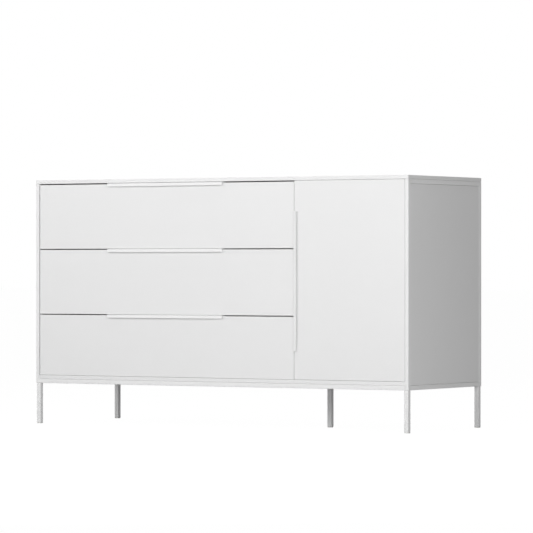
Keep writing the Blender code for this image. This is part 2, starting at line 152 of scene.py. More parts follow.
def round_corners(
    corners: Sequence[Sequence[float]], radii: float | Sequence[float], closed: bool = True
) -> Outline:
    """Replaces each corner of a line by an arc.

    The arc starts r * tan(turn / 2) before the corner. Its centre lies r to the inner side
    of the line, and its points are the centre plus r times the line's side direction, which
    turns evenly from the edge before to the edge after.

    Args:
        corners: The corners in order. A closed line is put counter-clockwise.
        radii: One radius for all corners, or one for each.
        closed: Whether the last corner joins the first.

    Returns:
        The rounded line, with ARC_STEPS + 1 points for each corner.
    """
    line = np.array(corners, float)
    radius = np.broadcast_to(np.array(radii, float), len(line)).copy()
    ahead = np.roll(line, -1, axis=0)
    if closed and np.sum(line[:, 0] * ahead[:, 1] - line[:, 1] * ahead[:, 0]) < 0:
        line, radius = line[::-1], radius[::-1]
        ahead = np.roll(line, -1, axis=0)
    after = ahead - line
    before = np.roll(after, 1, axis=0)
    if not closed:
        before[0] = after[0]
        after[-1] = before[-1]
    come = before / np.linalg.norm(before, axis=1, keepdims=True)
    leave = after / np.linalg.norm(after, axis=1, keepdims=True)
    turn = np.arctan2(
        come[:, 0] * leave[:, 1] - come[:, 1] * leave[:, 0], np.sum(come * leave, axis=1)
    )
    hand = np.sign(turn)
    side = np.stack((come[:, 1], -come[:, 0]), axis=1)
    start = line - come * (radius * np.tan(np.abs(turn) / 2))[:, None]
    centre = start - side * (hand * radius)[:, None]
    share = np.linspace(0.0, 1.0, ARC_STEPS + 1)
    angle = turn[:, None] * share
    cosine, sine = np.cos(angle), np.sin(angle)
    facing = np.stack(
        (
            side[:, :1] * cosine - side[:, 1:] * sine,
            side[:, :1] * sine + side[:, 1:] * cosine,
        ),
        axis=-1,
    )
    points = centre[:, None, :] + facing * (hand * radius)[:, None, None]
    bend = np.where(turn[:, None] > LEAST_TURN, np.sin(math.pi * share), 0.0)
    return Outline(points.reshape(-1, 2), facing.reshape(-1, 2), bend.reshape(-1))


def grid_faces(rows: int, columns: int, closed_rows: bool) -> Array:
    """Four-sided faces over a grid of points whose columns go right round.

    Args:
        rows: How many rows the grid has.
        columns: How many points a row has.
        closed_rows: Whether the last row joins the first.

    Returns:
        Point numbers, four to a face.
    """
    row, column = np.meshgrid(
        np.arange(rows if closed_rows else rows - 1), np.arange(columns), indexing="ij"
    )
    next_row, next_column = (row + 1) % rows, (column + 1) % columns
    corners = (
        row * columns + column,
        row * columns + next_column,
        next_row * columns + next_column,
        next_row * columns + column,
    )
    return np.stack(corners, axis=-1).reshape(-1, 4)


@dataclass
class Surface:
    """A closed surface.

    points are its points, facing the way each one faces (all 0 where the mesh works it
    out), bend how far round an edge each one lies, and faces the point numbers of its
    faces, one array for each count of corners.
    """

    points: Array
    facing: Array
    bend: Array
    faces: list[Array]

    @classmethod
    def of_grid(
        cls, points: Array, facing: Array, bend: Array, closed_rows: bool, caps: bool
    ) -> "Surface":
        """A surface over a grid, facing out.

        Args:
            points: Points by row and column. The columns go right round.
            facing: The way each point faces.
            bend: How far round an edge each point lies.
            closed_rows: Whether the last row joins the first.
            caps: Whether the first and the last row are closed by one face each.

        Returns:
            The surface, its faces turned so that it holds a positive volume.
        """
        rows, columns = points.shape[:2]
        faces = [grid_faces(rows, columns, closed_rows)]
        if caps:
            first = np.arange(columns)[None, ::-1]
            faces.append(np.concatenate((first, (rows - 1) * columns + first[:, ::-1])))
        made = cls(points.reshape(-1, 3), facing.reshape(-1, 3), bend.reshape(-1), faces)
        if made.volume() < 0:
            made.faces = [one[:, ::-1] for one in made.faces]
        return made

    @classmethod
    def joined(cls, parts: Sequence["Surface"]) -> "Surface":
        """Several surfaces as one."""
        starts = np.cumsum([0] + [len(part.points) for part in parts])
        faces = [one + start for part, start in zip(parts, starts) for one in part.faces]
        return cls(
            np.concatenate([part.points for part in parts]),
            np.concatenate([part.facing for part in parts]),
            np.concatenate([part.bend for part in parts]),
            faces,
        )

    def volume(self) -> float:
        """What it holds: a sixth of the triple products of its faces cut into fans."""
        total = 0.0
        for one in self.faces:
            corner = self.points[one]
            fan = np.cross(corner[:, 1:-1], corner[:, 2:]).sum(axis=1)
            total += float(np.sum(corner[:, 0] * fan)) / 6
        return total

    def mesh(self, name: str) -> bpy.types.Mesh:
        """A Blender mesh with coinciding points made one and collapsed faces left out.

        Args:
            name: The mesh's name.

        Returns:
            The mesh, with the surface's own normals and its bend as an attribute.
        """
        keys = np.round(self.points / WELD).astype(np.int64)
        _, first, welded = np.unique(keys, axis=0, return_index=True, return_inverse=True)
        welded = welded.reshape(-1)
        kept = []
        for one in self.faces:
            number = welded[one]
            apart = number != np.roll(number, -1, axis=1)
            count = apart.sum(axis=1)
            for corners in np.unique(count[count > 2]):
                rows = count == corners
                kept.append(one[rows][apart[rows]].reshape(-1, corners))
        made = bpy.data.meshes.new(name)
        polygons = [row for one in kept for row in welded[one].tolist()]
        made.from_pydata(self.points[first].tolist(), [], polygons, shade_flat=False)
        made.update()
        bend = made.attributes.new(BEND_ATTRIBUTE, "FLOAT", "POINT")
        bend.data.foreach_set("value", self.bend[first].astype(np.float32))
        facing = np.concatenate([self.facing[one].reshape(-1, 3) for one in kept])
        if not facing.any(axis=1).all():
            made.set_sharp_from_angle(angle=SHARP_TURN)
        if facing.any():
            made.normals_split_custom_set(facing.tolist())
        return made


def prism(outline: Outline, axis: Axis, low: float, high: float, edge: float) -> Surface:
    """An outline drawn out along an axis, its two ends eased by a quarter round.

    A row's points are the outline drawn in by the edge radius, plus that radius times
    cos(a) along the way the outline faces and sin(a) along the axis. The angle a goes from
    -90 to 0 degrees at the low end and from 0 to 90 at the high end.

    Args:
        outline: The cross-section, on the axis's two cross axes.
        axis: The direction it is drawn out along.
        low: Where it starts.
        high: Where it ends.
        edge: The radius of the eased ends.

    Returns:
        The closed surface.
    """
    quarter = np.linspace(0.0, math.pi / 2, ARC_STEPS + 1)
    angle = np.concatenate((quarter - math.pi / 2, quarter))[:, None]
    centre = np.repeat((low + edge, high - edge), ARC_STEPS + 1)[:, None]
    core = outline.points - edge * outline.facing
    reach = edge * np.cos(angle)
    points = axis.place(
        core[:, 0] + reach * outline.facing[:, 0],
        core[:, 1] + reach * outline.facing[:, 1],
        centre + edge * np.sin(angle),
    )
    facing = axis.place(
        np.cos(angle) * outline.facing[:, 0],
        np.cos(angle) * outline.facing[:, 1],
        np.sin(angle),
    )
    bend = np.maximum(outline.bend * np.cos(angle), np.abs(np.sin(2 * angle)))
    return Surface.of_grid(points, facing, bend, closed_rows=False, caps=True)


def board(span: Span, edge: float) -> Surface:
    """A board with every edge rounded and every corner part of a ball.

    Args:
        span: Its two far corners.
        edge: The radius of its edges.

    Returns:
        The closed surface.
    """
    (x0, y0, z0), (x1, y1, z1) = span.low, span.high
    outline = round_corners([(x0, y0), (x1, y0), (x1, y1), (x0, y1)], edge)
    return prism(outline, Axis.Z, z0, z1, edge)


def plate(span: Span, axis: Axis, corner: float, edge: float) -> Surface:
    """A flat plate whose corners are rounded about its own thin axis.

    Args:
        span: Its two far corners.
        axis: The axis across its thickness.
        corner: The radius of its four corners.
        edge: The radius of its edges.

    Returns:
        The closed surface.
    """
    a, b, c = axis.value
    low, high = span.low, span.high
    corners = [(low[a], low[b]), (high[a], low[b]), (high[a], high[b]), (low[a], high[b])]
    return prism(round_corners(corners, corner), axis, low[c], high[c], edge)


def turned(outline: Outline, axis: Axis, centre: Sequence[float]) -> Surface:
    """A line of (radius, height) points carried round an axis in circles.

    Args:
        outline: The line, from one end on the axis to the other.
        axis: The axis it turns about.
        centre: The point that heights start from.

    Returns:
        The closed surface, its poles made one point each.
    """
    angle = 2 * math.pi * np.arange(ROUND_STEPS) / ROUND_STEPS
    radius, height = outline.points[:, :1], outline.points[:, 1:]
    points = axis.place(radius * np.cos(angle), radius * np.sin(angle), height)
    out, up = outline.facing[:, :1], outline.facing[:, 1:]
    facing = axis.place(out * np.cos(angle), out * np.sin(angle), up)
    bend = np.repeat(outline.bend[:, None], ROUND_STEPS, axis=1)
    return Surface.of_grid(points + np.array(centre), facing, bend, False, False)


def rod(
    axis: Axis, centre: Sequence[float], radius: float, root: float, tip: float, ease: float = 0.0
) -> Surface:
    """A rod along an axis, or a button where it is short.

    Args:
        axis: The direction it points along.
        centre: The point that its ends are measured from.
        radius: Its radius.
        root: Where its plain end is.
        tip: Where its other end is.
        ease: The radius of the rim at its tip.

    Returns:
        The closed surface.
    """
    corners = [(0, root), (radius, root), (radius, tip), (0, tip)]
    line = round_corners(corners, [0, 0, ease, 0], False)
    return turned(line if tip > root else line.flipped(), axis, centre)


def border(span: Span, section: Outline, corner: float, caps: bool) -> Surface:
    """A cross-section carried round the rim of a rectangle that stands across the X axis.

    The section's points are (inward from the rim, x). At a corner of the rim, whose radius
    is R, a point less than R in lies on an arc of radius R less its depth, and a deeper one
    lies on the mitre. The way it faces turns with the arc.

    Args:
        span: The rectangle that the rim runs round, by its y and z.
        section: The cross-section, closed for a frame or open for a panel.
        corner: The radius of the rim's corners.
        caps: Whether the two ends of an open section are closed by one face each.

    Returns:
        The closed surface.
    """
    (_, y0, z0), (_, y1, z1) = span.low, span.high
    rim = round_corners([(y0, z0), (y1, z0), (y1, z1), (y0, z1)], corner)
    steps = ARC_STEPS + 1
    inward = np.repeat([(1, 1), (-1, 1), (-1, -1), (1, -1)], steps, axis=0)
    centre = rim.points - corner * rim.facing
    depth, x = section.points[:, :1], section.points[:, 1:]
    on_arc = centre + (corner - depth)[..., None] * rim.facing
    on_mitre = centre + (depth - corner)[..., None] * inward
    flat = np.where((depth < corner)[..., None], on_arc, on_mitre)
    points = np.stack((np.broadcast_to(x, flat.shape[:2]), flat[..., 0], flat[..., 1]), axis=-1)
    out = -section.facing[:, :1, None] * rim.facing
    sideways = np.broadcast_to(section.facing[:, 1:], flat.shape[:2])
    facing = np.stack((sideways, out[..., 0], out[..., 1]), axis=-1)
    rim_bend = np.where(depth < corner, rim.bend, 0.0)
    bend = np.maximum(section.bend[:, None], rim_bend)
    return Surface.of_grid(points, facing, bend, closed_rows=not caps, caps=caps)


class Heading(Enum):
    """The way a screw's head looks, as its axis and the sign along it."""

    LEFT = (Axis.X, -1)
    RIGHT = (Axis.X, 1)
    FORWARD = (Axis.Y, -1)
    BACK = (Axis.Y, 1)
    DOWN = (Axis.Z, -1)
    UP = (Axis.Z, 1)


@dataclass(frozen=True)
class Screw:
    """A cross-recessed screw, of which the head shows.

    The head is a line of (radius, height) points turned about its axis. Inside the recess,
    whose radius is R, its top is lowered by depth * share ** slope * the larger of
    |cos(2 * angle)| ** arm_power, which leaves four arms, and hub_gain * (share - hub_share),
    which opens their middle. The share is 1 - r / R.
    """

    radius: float = 0.0035
    height: float = 0.0014
    seat: float = 0.0004
    skirt_share: float = 0.15
    crown_share: float = 0.96
    crown_drop: float = 0.72
    recess_share: float = 0.62
    recess_depth: float = 0.0011
    slope: float = 0.7
    arm_power: int = 6
    hub_gain: float = 2.6
    hub_share: float = 1.5 / 2.6

    def head(self, place: Sequence[float], heading: Heading) -> Surface:
        """One head on a face.

        Args:
            place: The point of the face under the middle of the head.
            heading: The way the head looks.

        Returns:
            The closed surface.
        """
        axis, sign = heading.value
        out = 1 - np.linspace(0.0, 1.0, CROWN_STEPS)
        skirt = self.skirt_share * self.height
        under = [(0.0, -self.seat), (self.radius, -self.seat), (self.radius, skirt)]
        dome = self.height * (1 - self.crown_drop * out**2)
        crown = np.stack((self.crown_share * self.radius * out, dome), axis=1)
        line = np.concatenate((np.array(under), crown))
        angle = 2 * math.pi * np.arange(ROUND_STEPS) / ROUND_STEPS
        radius, height = line[:, :1], line[:, 1:]
        share = np.clip(1 - radius / (self.recess_share * self.radius), 0.0, 1.0)
        arms = np.abs(np.cos(2 * angle)) ** self.arm_power
        hub = np.clip(self.hub_gain * (share - self.hub_share), 0.0, 1.0)
        on_top = (np.arange(len(line)) >= len(under))[:, None]
        recess = self.recess_depth * share**self.slope * np.maximum(arms, hub) * on_top
        points = axis.place(
            radius * np.cos(angle), radius * np.sin(angle), sign * (height - recess)
        ) + np.array(place, float)
        flat = np.zeros(points.shape[:2])
        return Surface.of_grid(points, np.zeros_like(points), flat, False, False)


PAN_SCREW = Screw()
SUNK_SCREW = Screw(radius=0.0031, height=0.00022, seat=0.0002, recess_depth=0.0003)
SMALL_SCREW = Screw(radius=0.0024, height=0.0009, seat=0.0003, recess_depth=0.0007)
TINY_SUNK_SCREW = Screw(radius=0.0024, height=0.0002, seat=0.0002, recess_depth=0.00028)


# Finishes


class Graph:
    """A node tree that is filled one node at a time."""

    def __init__(self, tree: bpy.types.NodeTree) -> None:
        """Starts on a tree."""
        self.tree = tree

    def add(self, kind: str, inputs: dict[Any, Any] | None = None, **settings: Any) -> Any:
        """Adds a node.

        Args:
            kind: The node's type.
            inputs: Its inputs by name or number. A socket is linked, a value is set.
            settings: Its own properties.

        Returns:
            The node.
        """
        node = self.tree.nodes.new(kind)
        for name, value in settings.items():
            setattr(node, name, value)
        self.feed(node, inputs or {})
        return node

    def feed(self, node: Any, inputs: dict[Any, Any]) -> None:
        """Links sockets to a node's inputs and sets values on them, by name or number."""
        for name, value in inputs.items():
            if isinstance(value, bpy.types.NodeSocket):
                self.tree.links.new(value, node.inputs[name])
            else:
                node.inputs[name].default_value = value

    def group(self, make: Callable, **values: Any) -> Any:
        """An effect group's output, with its own values."""
        return self.add("ShaderNodeGroup", values, node_tree=make()).outputs[0]

    def mix(self, mask: Any, under: Any, over: Any) -> Any:
        """One colour over another where a mask says."""
        inputs = {0: mask, 6: under, 7: over}
        return self.add("ShaderNodeMix", inputs, data_type="RGBA").outputs[2]

    def math(self, operation: str, *values: Any) -> Any:
        """A Math node's result from values or sockets."""
        node = self.add("ShaderNodeMath", dict(enumerate(values)), operation=operation)
        return node.outputs[0]

    def noise(self, where: Any, scale: Any, detail: float = 2.0) -> Any:
        """A Noise texture's value, about 0.5 in the middle."""
        inputs = {"Vector": where, "Scale": scale, "Detail": detail}
        return self.add("ShaderNodeTexNoise", inputs).outputs[0]

    def cells(self, where: Any, scale: Any, **settings: Any) -> Any:
        """A Voronoi texture's outputs."""
        inputs = {"Vector": where, "Scale": scale}
        return self.add("ShaderNodeTexVoronoi", inputs, **settings).outputs

    def place(self) -> Any:
        """The piece's own coordinates."""
        return self.add("ShaderNodeTexCoord").outputs["Object"]


def effect(output: str, **inputs: Any) -> Callable:
    """Makes a shader node group of what a function wires, built the first time it is used.

    Args:
        output: The name of the group's output.
        inputs: Its inputs with the values they start from. With a Colour among them, the
            output is a colour as well.

    Returns:
        A decorator for a function that gets a graph and the group's inputs, and returns the
        socket that the output shows.
    """

    def decorate(wire: Callable) -> Callable:
        """The group's maker, under the name of the function that wires it."""

        @cache
        def group() -> bpy.types.NodeTree:
            """The group, with its sockets joined to what the function wires."""
            tree = bpy.data.node_groups.new(wire.__name__, "ShaderNodeTree")
            for label, value in inputs.items():
                kind = "NodeSocketFloat" if isinstance(value, float) else "NodeSocketColor"
                socket = tree.interface.new_socket(label, in_out="INPUT", socket_type=kind)
                socket.default_value = value
            kind = "NodeSocketColor" if "Colour" in inputs else "NodeSocketFloat"
            tree.interface.new_socket(output, in_out="OUTPUT", socket_type=kind)
            graph = Graph(tree)
            given = graph.add("NodeGroupInput").outputs
            graph.add("NodeGroupOutput", {output: wire(graph, given)})
            return tree

        return group

    return decorate


@effect("Colour", Colour=(0.8, 0.8, 0.8, 1.0), Amount=0.02, Scale=3.0)
def tone_drift(graph: Graph, given: Any) -> Any:
    """Colour that drifts lighter and darker in slow clouds, with a finer one laid over."""
    where = graph.place()
    broad = graph.noise(where, given["Scale"], 3.0)
    fine = graph.noise(where, graph.math("MULTIPLY", given["Scale"], 11.0), 2.0)
    both = graph.math("MULTIPLY_ADD", fine, 0.5, broad)
    swing = graph.math("MULTIPLY", graph.math("SUBTRACT", both, 0.75), given["Amount"])
    share = graph.math("MULTIPLY_ADD", swing, 2.0, 1.0)
    scaled = {0: given["Colour"], "Scale": share}
    return graph.add("ShaderNodeVectorMath", scaled, operation="SCALE").outputs["Vector"]


@effect("Height", Scale=700.0)
def sprayed_skin(graph: Graph, given: Any) -> Any:
    """The height of a sprayed coat's dimples: one noise, and a finer one at a third of it."""
    where = graph.place()
    coarse = graph.noise(where, given["Scale"], 1.0)
    fine = graph.noise(where, graph.math("MULTIPLY", given["Scale"], 3.1), 1.0)
    return graph.math("MULTIPLY_ADD", fine, 0.35, coarse)


@effect("Height", Scale=900.0)
def pressed_grain(graph: Graph, given: Any) -> Any:
    """The height of a pressed foil: cells with soft rims, broken up by a noise."""
    where = graph.place()
    cells = graph.cells(where, given["Scale"], feature="SMOOTH_F1")
    cloud = graph.noise(where, graph.math("MULTIPLY", given["Scale"], 0.4), 2.0)
    return graph.math("ADD", cells["Distance"], cloud)


@effect("Mask", Amount=1.0, Scale=60.0)
def edge_highlight_and_scuff(graph: Graph, given: Any) -> Any:
    """A mask of rounded edges, patchy along their length: a painted highlight lightens them on
    lacquer and plating, and scuffs darken them on nylon.
    """
    bend = graph.add("ShaderNodeAttribute", attribute_name=BEND_ATTRIBUTE).outputs["Fac"]
    patches = graph.noise(graph.place(), given["Scale"], 3.0)
    broken = graph.math("MULTIPLY_ADD", patches, 1.2, 0.2)
    return graph.math("MULTIPLY", graph.math("MULTIPLY", bend, broken), given["Amount"])


@effect("Roughness", Roughness=0.4, Amount=0.05, Scale=9.0)
def handling_marks(graph: Graph, given: Any) -> Any:
    """Roughness that varies in broad wiped patches and in finer smudges."""
    where = graph.place()
    patches = graph.noise(where, given["Scale"], 4.0)
    smudges = graph.noise(where, graph.math("MULTIPLY", given["Scale"], 7.0), 3.0)
    both = graph.math("SUBTRACT", graph.math("ADD", patches, smudges), 1.0)
    return graph.math("MULTIPLY_ADD", both, given["Amount"], given["Roughness"])


@effect("Mask", Amount=0.3, Scale=14.0)
def settled_dust(graph: Graph, given: Any) -> Any:
    """A mask of the film of dust that settles on faces that look up."""
    coordinates = graph.add("ShaderNodeTexCoord").outputs
    split = graph.add("ShaderNodeSeparateXYZ", {0: coordinates["Normal"]})
    upward = graph.math("POWER", graph.math("MAXIMUM", split.outputs["Z"], 0.0), 3.0)
    film = graph.noise(coordinates["Object"], given["Scale"], 5.0)
    return graph.math("MULTIPLY", graph.math("MULTIPLY", upward, film), given["Amount"])


@effect("Mask", Scale=1200.0, Density=0.3)
def fine_speckle(graph: Graph, given: Any) -> Any:
    """A mask of tiny separate dots, one in each cell whose chance falls under Density."""
    cells = graph.cells(graph.place(), given["Scale"])
    chance = graph.add("ShaderNodeSeparateColor", {0: cells["Color"]}).outputs[0]
    picked = graph.math("LESS_THAN", chance, given["Density"])
    near = graph.math("SUBTRACT", 1.0, graph.math("MULTIPLY", cells["Distance"], 1.8))
    return graph.math("MULTIPLY", picked, graph.math("MAXIMUM", near, 0.0))


@effect("Streaks", Scale=400.0)
def rolled_streaks(graph: Graph, given: Any) -> Any:
    """Streaks that a rolling mill leaves: a noise drawn out twenty times along Y."""
    drawn = {0: graph.place(), 1: (1.0, 0.05, 1.0)}
    where = graph.add("ShaderNodeVectorMath", drawn, operation="MULTIPLY").outputs["Vector"]
    return graph.noise(where, given["Scale"], 3.0)


Effect = Callable[[], bpy.types.NodeTree]


@dataclass(frozen=True)
class Layer:
    """What lies over a finish's colour: a mask, and what it does where it shows.

    mask makes the mask from values. There the colour is multiplied by tint, where that isn't
    1, and dulls is added to the roughness.
    """

    mask: Effect
    values: dict[str, float]
    tint: float = 1.0
    dulls: float = 0.0


@dataclass(frozen=True)
class Recipe:
    """A finish: a colour with a slow drift, layers over it, marks of handling and a skin.

    drift and marks are each an amount and a scale, skin makes the height of the surface at
    its own scale and depth, and shader holds further inputs of the Principled shader.
    """

    colour: tuple[float, float, float]
    roughness: float
    drift: tuple[float, float]
    marks: tuple[float, float]
    skin: Effect
    skin_scale: float
    skin_depth: float
    layers: tuple[Layer, ...]
    shader: dict[str, Any]

    def build(self, name: str) -> bpy.types.Material:
        """Makes the material.

        Args:
            name: The material's name.

        Returns:
            The finished material.
        """
        material = bpy.data.materials.new(name)
        material.use_nodes = True
        material.diffuse_color = (*self.colour, 1.0)
        graph = Graph(material.node_tree)
        amount, scale = self.drift
        tone = graph.group(tone_drift, Colour=(*self.colour, 1.0), Amount=amount, Scale=scale)
        amount, scale = self.marks
        rough = graph.group(handling_marks, Roughness=self.roughness, Amount=amount, Scale=scale)
        for layer in self.layers:
            mask = graph.group(layer.mask, **layer.values)
            if layer.tint != 1.0:
                over = (*(min(1.0, part * layer.tint) for part in self.colour), 1.0)
                tone = graph.mix(mask, tone, over)
            rough = graph.math("MULTIPLY_ADD", mask, layer.dulls, rough)
        height = graph.group(self.skin, Scale=self.skin_scale)
        bump = graph.add("ShaderNodeBump", {"Height": height, "Distance": self.skin_depth})
        shader = material.node_tree.nodes["Principled BSDF"]
        graph.feed(
            shader,
            {"Base Color": tone, "Roughness": rough, "Normal": bump.outputs[0], **self.shader},
        )
        return material


def sprayed(
    colour: tuple[float, float, float], roughness: float, dimples: float, depth: float,
    coat: float = 0.0, metallic: float = 0.0,
) -> Recipe:
    """Lacquer or baked powder: fine dimples, rounded edges painted a little lighter as a highlight
    and made glossier, and a little dust on top.
    """
    # Painted highlight: rounded edges 5% lighter than the face, and less rough.
    edge_highlight_layer = Layer(edge_highlight_and_scuff, {"Amount": 0.35}, tint=1.05, dulls=-0.15)
    dust = Layer(settled_dust, {"Amount": 0.10}, tint=0.93, dulls=0.5)
    shader = {"Metallic": metallic, "Coat Weight": coat, "Coat Roughness": 0.30}
    return Recipe(
        colour, roughness, drift=(0.010, 2.6), marks=(0.06, 9.0), skin=sprayed_skin,
        skin_scale=dimples, skin_depth=depth, layers=(edge_highlight_layer, dust), shader=shader,
    )


def pressed(
    colour: tuple[float, float, float], roughness: float, grain: float, depth: float, specks: float
) -> Recipe:
    """Melamine paper or edging foil: a pressed grain with faint specks and some dust."""
    dots = Layer(fine_speckle, {"Scale": 950.0, "Density": specks}, tint=0.90)
    dust = Layer(settled_dust, {"Amount": 0.22}, tint=0.92)
    return Recipe(
        colour, roughness, drift=(0.014, 3.4), marks=(0.08, 9.0), skin=pressed_grain,
        skin_scale=grain, skin_depth=depth, layers=(dots, dust), shader={},
    )


def plated(colour: tuple[float, float, float], roughness: float, streak: float) -> Recipe:
    """Plating over rolled steel, streaked along the sheet, with its edges painted brighter as a
    highlight.
    """
    streaks = Layer(rolled_streaks, {"Scale": 420.0}, dulls=streak)
    # Painted highlight: rounded edges 18% brighter than the flat sheet.
    edge_highlight_layer = Layer(edge_highlight_and_scuff, {"Amount": 0.8}, tint=1.18)
    return Recipe(
        colour, roughness, drift=(0.05, 22.0), marks=(0.10, 35.0), skin=rolled_streaks,
        skin_scale=420.0, skin_depth=0.00002, layers=(streaks, edge_highlight_layer), shader={"Metallic": 1.0},
    )


def moulded(colour: tuple[float, float, float], roughness: float, inside: float) -> Recipe:
    """Nylon or soft rubber: a spark-eroded mould's fine grain, letting a little light in."""
    scuffs = Layer(edge_highlight_and_scuff, {"Amount": 0.6}, tint=0.90)
    shader = {
        "Subsurface Weight": inside,
        "Subsurface Radius": (0.6, 0.55, 0.5),
        "Subsurface Scale": 0.002,
    }
    return Recipe(
        colour, roughness, drift=(0.03, 30.0), marks=(0.08, 40.0), skin=pressed_grain,
        skin_scale=2200.0, skin_depth=0.00003, layers=(scuffs,), shader=shader,
    )


class Finish(Enum):
    """Every finish of the sideboard, as its material's name and what it is made of."""

    LACQUER = ("white_lacquer", sprayed((0.84, 0.84, 0.84), 0.46, 620.0, 0.00003, coat=0.12))
    POWDER = ("white_powder_coat", sprayed((0.86, 0.86, 0.86), 0.52, 1500.0, 0.00006))
    MELAMINE = ("white_melamine", pressed((0.82, 0.82, 0.81), 0.55, 900.0, 0.00005, 0.10))
    EDGING = ("white_edging_foil", pressed((0.84, 0.84, 0.83), 0.42, 1600.0, 0.00003, 0.04))
    DRAWER_STEEL = (
        "grey_drawer_steel", sprayed((0.70, 0.71, 0.72), 0.42, 1900.0, 0.00004, metallic=0.2)
    )
    ZINC = ("zinc_plate", plated((0.62, 0.63, 0.64), 0.30, 0.12))
    NICKEL = ("nickel_plate", plated((0.55, 0.53, 0.50), 0.22, 0.08))
    NYLON = ("white_nylon", moulded((0.80, 0.80, 0.78), 0.48, 0.15))
    RUBBER = ("clear_rubber", moulded((0.72, 0.73, 0.74), 0.30, 0.40))

    @cache
    def material(self) -> bpy.types.Material:
        """The finish's material, built the first time it is asked for."""
        name, recipe = self.value
        return recipe.build(f"{name}_finish")


# Putting pieces in


def remade(piece: bpy.types.Object) -> None:
    """Gives a piece the mesh that its modifiers make, and takes the modifiers off.

    Args:
        piece: The piece.
    """
    bpy.context.view_layer.update()
    graph = bpy.context.evaluated_depsgraph_get()
    made = bpy.data.meshes.new_from_object(piece.evaluated_get(graph))
    old, piece.data = piece.data, made
    piece.modifiers.clear()
    bpy.data.meshes.remove(old)
    made.name = piece.name


def cut(piece: bpy.types.Object, cutter: Surface) -> None:
    """Cuts holes or pockets into a piece, then shades it by the area of its faces.

    Args:
        piece: The piece that is cut.
        cutter: The closed surface that is taken away.
    """
    helper = bpy.data.objects.new("cutter", cutter.mesh("cutter"))
    bpy.context.scene.collection.objects.link(helper)
    hole = piece.modifiers.new("hole", "BOOLEAN")
    hole.operation, hole.solver, hole.object = "DIFFERENCE", "EXACT", helper
    remade(piece)
    bpy.data.meshes.remove(helper.data)
    piece.data.shade_smooth()
    piece.data.set_sharp_from_angle(angle=SHARP_TURN)
    even = piece.modifiers.new("even_shading", "WEIGHTED_NORMAL")
    even.keep_sharp = True
    remade(piece)


def fit(
    name: str,
    surface: Surface,
    finish: Finish,
    body: str,
    stands_for: str | None = None,
    cutter: Surface | None = None,
) -> bpy.types.Object:
    """Makes one piece and puts it on its body.

    Args:
        name: The piece's name.
        surface: Its shape, in place.
        finish: Its finish.
        body: The CAD body it moves with.
        stands_for: The CAD piece it stands for, if it does.
        cutter: What is cut out of it.

    Returns:
        The piece.
    """
    piece = bpy.data.objects.new(name, surface.mesh(name))
    bpy.context.scene.collection.objects.link(piece)
    if cutter:
        cut(piece, cutter)
    piece.data.materials.clear()
    piece.data.materials.append(finish.material())
    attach(piece, body)
    if stands_for:
        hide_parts(stands_for)
    LOG.info("%s: %d faces, on %s", name, len(piece.data.polygons), body)
    return piece


def fit_screws(
    name: str, screw: Screw, places: Sequence[Sequence[float]], heading: Heading, body: str
) -> None:
    """Fits all the zinc-plated screws of one joint as one piece."""
    heads = [screw.head(place, heading) for place in places]
    fit(name, Surface.joined(heads), Finish.ZINC, body)


def pin_plate(end: str) -> tuple[Span, int]:
    """Where the upper or the lower door pin's plate is, and the sign of Z its pin points to."""
    span = Span.of(f"{end}_door_pin")
    if end == "upper":
        return Span.between((*span.low[:2], span.high[2] - PIN_PLATE), span.high), -1
    return Span.between(span.low, (*span.high[:2], span.low[2] + PIN_PLATE)), 1


def dress(node: str, finish: Finish) -> None:
    """Gives a CAD piece that stays its finish."""
    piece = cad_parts[node]
    piece.data.materials.clear()
    piece.data.materials.append(finish.material())
    LOG.info("%s stays, in %s", node, finish.value[0])


# The body


